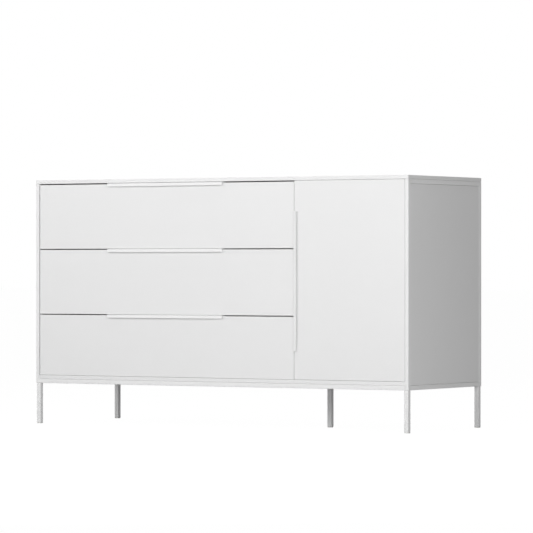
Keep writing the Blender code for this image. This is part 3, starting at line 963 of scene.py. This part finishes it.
@dataclass
class Carcass:
    """Top, bottom, welded side frames with their infills, divider, back and base rails."""

    board_edge: float = 0.0009
    frame_edge: float = 0.0010
    frame_width: float = 0.014
    groove_depth: float = 0.0039
    groove_half: float = 0.0020
    groove_edge: float = 0.0002
    tongue_reach: float = 0.0030
    tongue_half: float = 0.0017
    infill_edge: float = 0.0004
    infill_cap: float = 0.008
    rail_edge: float = 0.0016
    rail_end: float = 0.0002
    edging: float = 0.0008
    back_edge: float = 0.0005
    back_screw_inset: float = 0.013
    back_screw_pitch: float = 0.165
    rail_screw_pitch: float = 0.300
    rail_screw_inset: float = 0.060
    hole_radius: float = 0.0026
    hole_depth: float = 0.0083
    hole_pitch: float = 0.032
    hole_steps: int = 3
    plug_radius: float = 0.0062
    plug_height: float = 0.0009
    plug_ease: float = 0.00072
    plug_inset: float = 0.034
    pocket_corner: float = 0.0023
    pocket_edge: float = 0.0001

    def build(self) -> None:
        """Builds and dresses every piece of the body's shell."""
        self.boards()
        for side in ("left", "right"):
            self.side_frame(side)
            self.infill(side)
        self.divider()
        self.back()
        self.rails()

    def pin_pocket(self, end: str) -> Surface:
        """The pocket that the plate of the upper or the lower door pin is let into."""
        span, into = pin_plate(end)
        below, above = (FIT, CUT_REACH)[::into]
        pocket = span.grown((-FIT, -FIT, -below), (FIT, FIT, above))
        return plate(pocket, Axis.Z, self.pocket_corner, self.pocket_edge)

    def boards(self) -> None:
        """The top and the bottom board, each with a pocket for a door pin's plate."""
        for name, end in (("top", "upper"), ("bottom", "lower")):
            node = f"{name}_panel"
            surface = board(Span.of(node), self.board_edge)
            fit(f"{name}_board", surface, Finish.LACQUER, CABINET, node,
                cutter=self.pin_pocket(end))

    @staticmethod
    def stepped(span: Span, outer: float, face: float, step: float, half: float) -> list:
        """A frame's or an infill's cross-section, with a groove or a tongue in its middle.

        Args:
            span: The piece.
            outer: How far in from the rim its far side is.
            face: How far in the side with the step is.
            step: How far in the step's own face is.
            half: Half the step's width.

        Returns:
            The eight corners, as (inward from the rim, x).
        """
        x0, x1 = span.low[0], span.high[0]
        low, high = (x0 + x1) / 2 - half, (x0 + x1) / 2 + half
        side = [(outer, x0), (face, x0), (face, low), (step, low)]
        return side + [(step, high), (face, high), (face, x1), (outer, x1)]

    def side_frame(self, side: str) -> None:
        """Makes one welded frame of rectangular tube, grooved on its inside for the infill.

        Args:
            side: The side it is on, left or right.
        """
        node = f"{side}_side_frame"
        span = Span.of(node)
        width, edge, fine = self.frame_width, self.frame_edge, self.groove_edge
        corners = self.stepped(span, 0.0, width, width - self.groove_depth, self.groove_half)
        section = round_corners(corners, [edge, edge, fine, fine, fine, fine, edge, edge])
        surface = border(span, section, edge, caps=False)
        fit(f"{side}_welded_frame", surface, Finish.POWDER, CABINET, node)

    def infill(self, side: str) -> None:
        """Makes the board inside a frame, with a tongue all round that sits in the groove.

        Args:
            side: The side it is on, left or right.
        """
        node = f"{side}_side_panel"
        span = Span.of(node)
        edge, fine = self.infill_edge, self.groove_edge
        corners = self.stepped(span, self.infill_cap, self.tongue_reach, 0.0, self.tongue_half)
        section = round_corners(corners, [0, edge, fine, fine, fine, fine, edge, 0], False)
        surface = border(span, section.flipped(), fine, caps=True)
        cutter = self.pin_holes("right", span.low[0], 1) if side == "right" else None
        fit(f"{side}_infill_board", surface, Finish.LACQUER, CABINET, node, cutter=cutter)

    def pin_holes(self, side: str, wall: float, into: int) -> Surface:
        """The rows of holes that the shelf's pins go in.

        Args:
            side: The side of the shelf, left or right.
            wall: Where the wall's face is.
            into: The sign of X into the wall.

        Returns:
            The rods that drill them.
        """
        steps = np.arange(-self.hole_steps, self.hole_steps + 1) * self.hole_pitch
        root, tip = -into * CUT_REACH, into * self.hole_depth
        rods = []
        for end in ("front", "rear"):
            _, y, z = Span.of(f"shelf_pin_{end}_{side}").centre
            places = [(wall, y, z + step) for step in steps]
            rods += [rod(Axis.X, place, self.hole_radius, root, tip) for place in places]
        return Surface.joined(rods)

    def divider(self) -> None:
        """The upright between drawers and door, its front edged, with fixing plugs."""
        node = "divider_panel"
        span = Span.of(node)
        core, strip = span.edged(self.edging)
        holes = self.pin_holes("left", span.high[0], -1)
        surface = board(core, self.edging / 4)
        fit("divider_board", surface, Finish.MELAMINE, CABINET, node, cutter=holes)
        fit("divider_edging", board(strip, self.edging / 3), Finish.EDGING, CABINET)
        inset = self.plug_inset
        plugs = [
            rod(Axis.X, (span.high[0], y, z), self.plug_radius, 0, self.plug_height, self.plug_ease)
            for y in (span.low[1] + 2 * inset, span.high[1] - 2 * inset)
            for z in (span.low[2] + inset, span.high[2] - inset)
        ]
        fit("divider_fixing_plugs", Surface.joined(plugs), Finish.NYLON, CABINET)

    def back(self) -> None:
        """The back board and the screws that hold it on all sides and to the divider."""
        node = "back_panel"
        span = Span.of(node)
        fit("back_board", board(span, self.back_edge), Finish.MELAMINE, CABINET, node)
        inset, y = self.back_screw_inset, span.high[1]
        xs = self.spaced(span.low[0] + inset, span.high[0] - inset, self.back_screw_pitch)
        zs = self.spaced(span.low[2] + inset, span.high[2] - inset, self.back_screw_pitch)
        spots = [(x, z) for x in xs for z in (zs[0], zs[-1])]
        spots += [(x, z) for z in zs[1:-1] for x in (xs[0], xs[-1])]
        spots += [(Span.of("divider_panel").centre[0], z) for z in zs[1:-1]]
        places = [(x, y, z) for x, z in spots]
        fit_screws("back_board_screws", PAN_SCREW, places, Heading.BACK, CABINET)

    @staticmethod
    def spaced(low: float, high: float, pitch: float) -> list[float]:
        """Places from low to high, evenly spaced by about a pitch."""
        return np.linspace(low, high, int(round((high - low) / pitch)) + 1).tolist()

    def rails(self) -> None:
        """The three base rails of square tube, with the screws up into the bottom board."""
        places = []
        for name, axis in (("front", Axis.X), ("rear", Axis.X), ("centre", Axis.Y)):
            node = f"{name}_base_rail"
            span = Span.of(node)
            surface = plate(span, axis, self.rail_edge, self.rail_end)
            fit(f"{name}_rail", surface, Finish.POWDER, CABINET, node)
            along, inset = axis.value[2], self.rail_screw_inset
            low, high = span.low[along] + inset, span.high[along] - inset
            for place in self.spaced(low, high, self.rail_screw_pitch):
                point = np.array((*span.centre[:2], span.low[2]))
                point[along] = place
                places.append(point)
        fit_screws("rail_screws", SUNK_SCREW, places, Heading.DOWN, CABINET)


@dataclass
class Legs:
    """Five legs of square tube, each standing on a nylon glide."""

    tube_edge: float = 0.0014
    end_edge: float = 0.0003
    foot_edge: float = 0.0007
    foot_inset: float = 0.0003
    foot_height: float = 0.0033

    def build(self) -> None:
        """Builds and dresses every leg and its glide."""
        for name in ("front_left", "front_right", "rear_left", "rear_right", "centre"):
            self.leg(name)

    def leg(self, name: str) -> None:
        """Makes one leg and its glide.

        Args:
            name: Where the leg stands, as the CAD pieces' names start.
        """
        glide, leg = Span.of(f"{name}_glide"), Span.of(f"{name}_leg")
        bottom = Span.of("centre_base_rail").low[2] - FIT
        tube = Span.between((*glide.low[:2], leg.low[2]), (*glide.high[:2], bottom))
        surface = plate(tube, Axis.Z, self.tube_edge, self.end_edge)
        fit(f"{name}_leg_tube", surface, Finish.POWDER, CABINET, f"{name}_leg")
        inset = self.foot_inset
        low = (*(glide.low[:2] + inset), glide.low[2])
        high = (*(glide.high[:2] - inset), glide.low[2] + self.foot_height)
        surface = plate(Span.between(low, high), Axis.Z, self.tube_edge, self.foot_edge)
        fit(f"{name}_foot", surface, Finish.NYLON, CABINET, f"{name}_glide")


@dataclass
class Shelf:
    """The loose shelf behind the door and the four steel pins that carry it."""

    edging: float = 0.0008
    edge: float = 0.0003
    pin_radius: float = 0.0025
    collar_radius: float = 0.0045
    collar_length: float = 0.0012
    stub_length: float = 0.009
    pin_edge: float = 0.0005

    def build(self) -> None:
        """Builds and dresses the shelf and its pins."""
        core, strip = Span.of("shelf").edged(self.edging)
        fit("shelf_board", board(core, self.edge), Finish.MELAMINE, CABINET, "shelf")
        fit("shelf_edging", board(strip, self.edge), Finish.EDGING, CABINET)
        for side, inward in (("left", 1), ("right", -1)):
            for end in ("front", "rear"):
                self.pin(f"shelf_pin_{end}_{side}", f"shelf_stud_{end}_{side}", inward)

    def pin(self, node: str, name: str, inward: int) -> None:
        """Makes one pin: a rod that goes into the wall, a collar and a stub under the shelf.

        Args:
            node: The CAD pin.
            name: The finished pin's name.
            inward: The sign of X from the wall to the shelf.
        """
        span = Span.of(node)
        start, end = (span.low[0], span.high[0])[::inward]
        length, edge = abs(end - start), self.pin_edge
        rooted = length - self.stub_length - self.collar_length
        steps = [
            (0.0, 0.0, 0),
            (self.pin_radius, 0.0, edge),
            (self.pin_radius, rooted, 0),
            (self.collar_radius, rooted, edge),
            (self.collar_radius, rooted + self.collar_length, edge),
            (self.pin_radius, rooted + self.collar_length, edge / 2),
            (self.pin_radius, length, edge),
            (0.0, length, 0),
        ]
        corners = [(radius, inward * along) for radius, along, _ in steps]
        line = round_corners(corners, [rounding for _, _, rounding in steps], False)
        surface = turned(line if inward > 0 else line.flipped(), Axis.X, (start, *span.centre[1:]))
        fit(name, surface, Finish.ZINC, CABINET, node)


# What moves


@dataclass(frozen=True)
class Pull:
    """An edge pull of folded sheet: a tail on the front's edge and a lip down its face."""

    reach: float = 0.007
    flare: float = 0.0018
    let_in: float = 0.0020
    lip: float = 0.0105
    sheet: float = 0.0022
    tail: float = 0.014
    outer_bend: float = 0.0014
    inner_bend: float = 0.0004
    rim: float = 0.0005
    end: float = 0.0005
    screw_back: float = 0.0085
    screw_share: float = 0.40

    def outline(self, edge: float, face: float, into_gap: int) -> list[tuple[float, float]]:
        """The folded section as (out of the front, across its edge) points.

        Args:
            edge: Where the sheet lies nearest the front's edge.
            face: Where the front's face is.
            into_gap: The sign from the edge into the gap that the sheet fills.

        Returns:
            The six corners.
        """
        far = edge + into_gap * self.sheet
        tip = far - into_gap * self.lip
        outer = face - self.reach
        fold = outer + self.flare
        return [
            (fold, far),
            (outer, tip),
            (outer + self.sheet, tip),
            (fold + self.sheet, edge),
            (face + self.tail, edge),
            (face + self.tail, far),
        ]

    @property
    def radii(self) -> list[float]:
        """The radius of each corner: the fold outside and inside, and the sheet's rims."""
        return [self.outer_bend, self.rim, self.rim, self.inner_bend, self.rim, self.rim]

    def build(self, body: str, front: Span, axis: Axis) -> None:
        """Fits a pull and its screws on a drawer front's top edge or the door's left edge.

        Args:
            body: The drawer or the door.
            front: Its front.
            axis: X for a drawer's pull, and Z for the door's.
        """
        node = f"{body}_handle"
        span = Span.of(node)
        if axis is Axis.X:
            corners = self.outline(front.high[2] + FIT, front.low[1], 1)
            heading = Heading.UP
        else:
            side_on = self.outline(front.low[0] + self.let_in - FIT, front.low[1], -1)
            corners = [(x, y) for y, x in side_on]
            heading = Heading.LEFT
        along = axis.value[2]
        low, high = span.low[along], span.high[along]
        surface = prism(round_corners(corners, self.radii), axis, low, high, self.end)
        fit(f"{body}_pull", surface, Finish.POWDER, body, node)
        places = np.tile((span.low[0], front.low[1] + self.screw_back, span.high[2]), (3, 1))
        places[:, along] = (low + high) / 2 + np.array((-1, 0, 1)) * self.screw_share * (high - low)
        fit_screws(f"{body}_pull_screws", SUNK_SCREW, places, heading, body)


@dataclass
class Runner:
    """A pressed runner on the wall with its rail, and the screws through its flange."""

    sheet: float = 0.0020
    rail_start: float = 0.0067
    rail_end: float = 0.0193
    rail_height: float = 0.014
    height: float = 0.034
    bend: float = 0.0012
    rim: float = 0.0004
    screw_height: float = 0.0255
    screw_inset: float = 0.035

    def build(self, drawer: str, side: str, wall: float, inward: int) -> None:
        """Builds and dresses one runner.

        Args:
            drawer: The drawer it carries.
            side: The side it is on.
            wall: Where the wall's face is.
            inward: The sign of X away from the wall.
        """
        node = f"{drawer}_{side}_runner"
        span = Span.of(node)
        base = span.low[2]
        points = [
            (FIT, 0.0),
            (self.rail_end, 0.0),
            (self.rail_end, self.rail_height),
            (self.rail_start, self.rail_height),
            (self.rail_start, self.sheet),
            (FIT + self.sheet, self.sheet),
            (FIT + self.sheet, self.height),
            (FIT, self.height),
        ]
        corners = [(base + z, wall + inward * u) for u, z in points]
        bend, rim = self.bend, self.rim
        section = round_corners(corners, [bend, bend, bend, bend, rim, rim, rim, rim])
        surface = prism(section, Axis.Y, span.low[1], span.high[1], self.rim)
        fit(f"{drawer}_{side}_rail", surface, Finish.ZINC, CABINET, node)
        x, z = wall + inward * (FIT + self.sheet), base + self.screw_height
        low, high = span.low[1] + self.screw_inset, span.high[1] - self.screw_inset
        places = [(x, y, z) for y in np.linspace(low, high, 3)]
        heading = Heading.RIGHT if inward > 0 else Heading.LEFT
        fit_screws(f"{drawer}_{side}_rail_screws", SMALL_SCREW, places, heading, CABINET)


@dataclass
class Drawer:
    """A drawer: lacquered front, pull, two folded steel walls, bottom and back."""

    name: str
    edge: float = 0.0010
    offset: float = 0.005
    width: float = 0.016
    sheet: float = 0.0012
    foot: float = 0.0025
    web: float = 0.0145
    ledge: float = 0.017
    ledge_reach: float = 0.010
    top: float = 0.120
    roll: float = 0.008
    rib_height: float = 0.070
    rib_half: float = 0.006
    rib_depth: float = 0.0009
    lift: float = 0.006
    end_edge: float = 0.00025
    floor_edge: float = 0.0004
    back_edge: float = 0.0003
    edging: float = 0.0006
    bracket_width: float = 0.022
    bracket_low: float = 0.040
    bracket_high: float = 0.104
    bracket_sheet: float = 0.0016
    bracket_corner: float = 0.003
    bracket_edge: float = 0.0003
    bracket_screw: float = 0.012

    def build(self) -> None:
        """Builds and dresses every piece of the drawer, and the runners it rides on."""
        node = f"{self.name}_front"
        front = Span.of(node)
        fit(f"{self.name}_face", board(front, self.edge), Finish.LACQUER, self.name, node)
        Pull().build(self.name, front, Axis.X)
        left_wall = Span.of("left_side_panel").high[0]
        right_wall = Span.of("divider_panel").low[0]
        for side, wall, inward in (("left", left_wall, 1), ("right", right_wall, -1)):
            self.wall(side, wall, inward, front.low[2] + self.lift)
            self.bracket(side, wall, inward, front)
            Runner().build(self.name, side, wall, inward)
        self.tray()

    def wall(self, side: str, wall: float, inward: int, base: float) -> None:
        """One folded side: a channel over the rail, a ledge, a pressed rib and a rolled top.

        Args:
            side: The side it is on.
            wall: Where the cabinet's wall is.
            inward: The sign of X away from that wall.
            base: The height that the section is measured from.
        """
        node = f"{self.name}_{side}_side"
        outer, inner, s = self.offset, self.offset + self.width, self.sheet
        roll, top, deep = self.roll, self.top, self.rib_depth
        rib_low, rib_high = self.rib_height - self.rib_half, self.rib_height + self.rib_half
        points = [
            (outer, self.foot, 0.3),
            (outer + s, self.foot, 0.3),
            (outer + s, self.web, 0.5),
            (inner - s, self.web, 0.5),
            (inner - s, self.foot, 0.3),
            (inner, self.foot, 0.3),
            (inner, self.ledge, 0.5),
            (inner + self.ledge_reach, self.ledge, 0.3),
            (inner + self.ledge_reach, self.ledge + s, 0.3),
            (inner, self.ledge + s, 0.6),
            (inner, rib_low, 2.0),
            (inner - deep, rib_low + 2 * deep, 2.0),
            (inner - deep, rib_high - 2 * deep, 2.0),
            (inner, rib_high, 2.0),
            (inner, top, 1.6),
            (inner - roll, top, 1.6),
            (inner - roll, top - roll, 0.3),
            (inner - roll + s, top - roll, 0.3),
            (inner - roll + s, top - s, 0.5),
            (inner - s, top - s, 0.5),
            (inner - s, rib_high, 2.0),
            (inner - s - deep, rib_high - 2 * deep, 2.0),
            (inner - s - deep, rib_low + 2 * deep, 2.0),
            (inner - s, rib_low, 2.0),
            (inner - s, self.web + s, 0.5),
            (outer, self.web + s, 1.0),
        ]
        corners = [(base + z, wall + inward * u) for u, z, _ in points]
        section = round_corners(corners, [radius / 1000 for _, _, radius in points])
        span = Span.of(node)
        surface = prism(section, Axis.Y, span.low[1], span.high[1], self.end_edge)
        fit(f"{self.name}_{side}_wall", surface, Finish.DRAWER_STEEL, self.name, node)

    def bracket(self, side: str, wall: float, inward: int, front: Span) -> None:
        """Makes the plate that ties a wall to the front, and its two screws.

        Args:
            side: The side it is on.
            wall: Where the cabinet's wall is.
            inward: The sign of X away from that wall.
            front: The drawer's front.
        """
        near = wall + inward * (self.offset + self.width + FIT)
        x0, x1 = sorted((near, near + inward * self.bracket_width))
        base, y = front.low[2] + self.lift, front.high[1] + FIT
        z0, z1 = base + self.bracket_low, base + self.bracket_high
        span = Span.between((x0, y, z0), (x1, y + self.bracket_sheet, z1))
        surface = plate(span, Axis.Y, self.bracket_corner, self.bracket_edge)
        name = f"{self.name}_{side}_bracket"
        fit(name, surface, Finish.DRAWER_STEEL, self.name)
        ends = (z0 + self.bracket_screw, z1 - self.bracket_screw)
        places = [((x0 + x1) / 2, span.high[1], z) for z in ends]
        fit_screws(f"{name}_screws", PAN_SCREW, places, Heading.BACK, self.name)

    def tray(self) -> None:
        """The bottom board, and the back board with foil along its top edge."""
        floor, back = f"{self.name}_bottom", f"{self.name}_back"
        surface = board(Span.of(floor), self.floor_edge)
        fit(f"{self.name}_floor", surface, Finish.MELAMINE, self.name, floor)
        span = Span.of(back)
        surface = board(span.grown((0, 0, 0), (0, 0, -self.edging)), self.back_edge)
        fit(f"{self.name}_rear_wall", surface, Finish.MELAMINE, self.name, back)
        strip = Span.between((*span.low[:2], span.high[2] - self.edging), span.high)
        surface = board(strip, self.edging / 2.5)
        fit(f"{self.name}_rear_edging", surface, Finish.EDGING, self.name)


@dataclass
class Door:
    """The door leaf with its pull, the pins it turns on and its magnetic catch."""

    edge: float = 0.0012
    notch_edge: float = 0.0002
    bore_radius: float = 0.0033
    bore_depth: float = 0.0123
    pin_radius: float = 0.00175
    pin_sink: float = 0.0004
    pin_tip: float = 0.0006
    plate_corner: float = 0.002
    plate_edge: float = 0.0002
    plate_screws: tuple[float, float] = (0.006, 0.018)
    bumper_radius: float = 0.0030
    bumper_height: float = 0.0011
    bumper_ease: float = 0.00099
    bumper_inset: float = 0.045
    pole_reach: float = 0.0112
    pole_depth: float = 0.004
    pole_proud: float = 0.0002
    pole_height: float = 0.0016
    pole_gap: float = 0.0044
    ear: float = 0.0085
    ear_height: float = 0.0035
    ear_corner: float = 0.003
    ear_edge: float = 0.0008

    def build(self) -> None:
        """Builds and dresses the door and what it closes against."""
        self.leaf()
        for end in ("upper", "lower"):
            self.pin(end)
            dress(f"{end}_door_bush", Finish.NYLON)
        self.catch()

    def leaf(self) -> None:
        """The leaf with its two bores, its pull and two soft bumpers on its back."""
        span, sheet = Span.of("door_panel"), Span.of("door_handle")
        x, y = Span.of("upper_door_bush").centre[:2]
        notch = Span.between(
            (span.low[0] - CUT_REACH, span.low[1] - CUT_REACH, sheet.low[2] - FIT),
            (span.low[0] + Pull.let_in, sheet.high[1] + FIT, sheet.high[2] + FIT),
        )
        radius, deep = self.bore_radius, self.bore_depth
        cuts = [
            rod(Axis.Z, (x, y, span.low[2]), radius, -CUT_REACH, deep),
            rod(Axis.Z, (x, y, span.high[2]), radius, -deep, CUT_REACH),
            board(notch, self.notch_edge),
        ]
        fit("door_leaf", board(span, self.edge), Finish.LACQUER, DOOR, "door_panel",
            cutter=Surface.joined(cuts))
        Pull().build(DOOR, span, Axis.Z)
        x, inset = (span.low[0] + Span.of("divider_panel").high[0]) / 2, self.bumper_inset
        radius, height, ease = self.bumper_radius, self.bumper_height, self.bumper_ease
        bumpers = [
            rod(Axis.Y, (x, span.high[1], z), radius, 0, height, ease)
            for z in (span.low[2] + inset, span.high[2] - inset)
        ]
        fit("door_bumpers", Surface.joined(bumpers), Finish.RUBBER, DOOR)

    def pin(self, end: str) -> None:
        """Makes one pin on its plate, and the plate's two screws.

        Args:
            end: The door's end, upper or lower.
        """
        node = f"{end}_door_pin"
        span, into = pin_plate(end)
        face, tip, heading = span.high[2], Span.of(node).high[2], Heading.UP
        if into < 0:
            face, tip, heading = span.low[2], Span.of(node).low[2], Heading.DOWN
        pivot = (*Span.of(f"{end}_door_bush").centre[:2], 0.0)
        parts = [
            plate(span, Axis.Z, self.plate_corner, self.plate_edge),
            rod(Axis.Z, pivot, self.pin_radius, face - into * self.pin_sink, tip, self.pin_tip),
        ]
        fit(f"{end}_pin_plate", Surface.joined(parts), Finish.ZINC, CABINET, node)
        first, last = self.plate_screws
        places = [(x, span.centre[1], face) for x in (span.low[0] + first, span.high[0] - last)]
        fit_screws(f"{end}_pin_plate_screws", TINY_SUNK_SCREW, places, heading, CABINET)

    def catch(self) -> None:
        """The catch: a housing with two screw ears and the magnet's poles, and its plate."""
        span, ear = Span.of("door_catch"), self.ear
        housing = span.grown((ear, 0, 0), (-ear, 0, 0))
        flange = Span.between((*span.low[:2], span.high[2] - self.ear_height), span.high)
        parts = [board(housing, self.edge), plate(flange, Axis.Z, self.ear_corner, self.ear_edge)]
        fit("catch_housing", Surface.joined(parts), Finish.NYLON, CABINET, "door_catch")
        reach, half = self.pole_reach, self.pole_height / 2
        middles = [
            np.array((span.centre[0], span.low[1], span.centre[2] + sign * self.pole_gap))
            for sign in (-1, 1)
        ]
        low, high = (-reach, -self.pole_proud, -half), (reach, self.pole_depth, half)
        poles = [Span(middle, middle).grown(low, high) for middle in middles]
        surface = Surface.joined([board(pole, self.pole_proud) for pole in poles])
        fit("catch_magnet_poles", surface, Finish.NICKEL, CABINET)
        xs = (span.low[0] + ear / 2, span.high[0] - ear / 2)
        places = [(x, span.centre[1], flange.low[2]) for x in xs]
        fit_screws("catch_screws", SMALL_SCREW, places, Heading.DOWN, CABINET)
        strike = Span.of("door_catch_plate")
        surface = plate(strike, Axis.Y, self.plate_corner, self.plate_edge)
        fit("catch_strike", surface, Finish.ZINC, DOOR, "door_catch_plate")
        place = (strike.centre[0], strike.high[1], strike.centre[2])
        fit_screws("catch_strike_screw", TINY_SUNK_SCREW, [place], Heading.BACK, DOOR)


# The studio


@dataclass(frozen=True)
class Softbox:
    """A large soft light."""

    name: str
    place: tuple[float, float, float]
    power: float
    aim: tuple[float, float, float] = (0.0, 0.0, 0.45)
    size: tuple[float, float] = (2.4, 2.0)

    def build(self) -> None:
        """Hangs the light and turns it to what it lights."""
        data = bpy.data.lights.new(self.name, "AREA")
        data.shape = "RECTANGLE"
        data.size, data.size_y = self.size
        data.energy = self.power
        light = bpy.data.objects.new(self.name, data)
        light.location = self.place
        way = Vector(self.aim) - Vector(self.place)
        light.rotation_euler = way.to_track_quat("-Z", "Y").to_euler()
        bpy.context.scene.collection.objects.link(light)


@dataclass
class Studio:
    """A pale floor, a little light all round with six softboxes, and the camera."""

    floor_half: float = 60.0
    floor_grey: float = 0.62
    floor_white: float = 0.96
    floor_glow: float = 1.03
    room_light: float = 0.10
    eye: tuple[float, float, float] = (6.1629, -9.9015, 0.5132)
    turn: float = math.radians(31.716)
    lens: float = 243.88
    sensor: float = 36.0
    far: float = 200.0
    softboxes: tuple[Softbox, ...] = (
        Softbox("left", (-1.8, -2.6, 2.0), 31.0),
        Softbox("front", (-0.6, -3.0, 1.8), 24.0),
        Softbox("low_right", (2.6, -3.4, 1.0), 51.0),
        Softbox("right", (3.6, -2.6, 2.0), 39.0),
        Softbox("above", (0.0, 0.1, 3.2), 25.0),
        Softbox("behind", (-1.4, 3.0, 3.0), 20.0),
    )

    def build(self) -> None:
        """Sets up the floor, the light and the camera."""
        self.floor()
        self.room()
        for softbox in self.softboxes:
            softbox.build()
        self.camera()
        bpy.context.scene.view_settings.view_transform = "Standard"

    def floor(self) -> None:
        """A wide flat floor that looks nearly white and bounces light as a pale grey."""
        half = self.floor_half
        corners = [(-half, -half, 0), (half, -half, 0), (half, half, 0), (-half, half, 0)]
        mesh = bpy.data.meshes.new("studio_floor")
        mesh.from_pydata(corners, [], [(0, 1, 2, 3)])
        floor = bpy.data.objects.new("studio_floor", mesh)
        bpy.context.scene.collection.objects.link(floor)
        material = bpy.data.materials.new("studio_floor")
        material.use_nodes = True
        material.node_tree.nodes.clear()
        graph = Graph(material.node_tree)
        grey = (self.floor_grey,) * 3 + (1.0,)
        matt = graph.add("ShaderNodeBsdfDiffuse", {"Color": grey})
        white = graph.add(
            "ShaderNodeEmission", {"Color": (1.0, 1.0, 1.0, 1.0), "Strength": self.floor_glow}
        )
        seen = graph.add("ShaderNodeLightPath").outputs["Is Camera Ray"]
        share = graph.math("MULTIPLY", seen, self.floor_white)
        mixed = graph.add(
            "ShaderNodeMixShader", {0: share, 1: matt.outputs[0], 2: white.outputs[0]}
        )
        graph.add("ShaderNodeOutputMaterial", {"Surface": mixed.outputs[0]})
        mesh.materials.append(material)

    def room(self) -> None:
        """A little even light from all round, on a ground that looks white."""
        world = bpy.data.worlds.new("studio")
        bpy.context.scene.world = world
        world.use_nodes = True
        world.node_tree.nodes.clear()
        graph = Graph(world.node_tree)
        seen = graph.add("ShaderNodeLightPath").outputs["Is Camera Ray"]
        shown = graph.math("MAXIMUM", seen, self.room_light)
        ground = graph.add(
            "ShaderNodeBackground", {"Color": (1.0, 1.0, 1.0, 1.0), "Strength": shown}
        )
        graph.add("ShaderNodeOutputWorld", {"Surface": ground.outputs[0]})

    def camera(self) -> None:
        """A long lens at the height of the drawers, to the right of the front."""
        data = bpy.data.cameras.new("camera")
        data.lens = self.lens
        data.sensor_width = self.sensor
        data.clip_end = self.far
        camera = bpy.data.objects.new("camera", data)
        camera.location = self.eye
        camera.rotation_euler = (math.pi / 2, 0.0, self.turn)
        bpy.context.scene.collection.objects.link(camera)
        bpy.context.scene.camera = camera


def main() -> None:
    """Builds the sideboard from the body out, then the studio round it."""
    logging.basicConfig(level=logging.INFO, format="%(name)s: %(message)s")
    Studio().build()
    Carcass().build()
    Legs().build()
    Shelf().build()
    for name in DRAWERS:
        Drawer(name).build()
    Door().build()


if __name__ == "__main__":
    main()
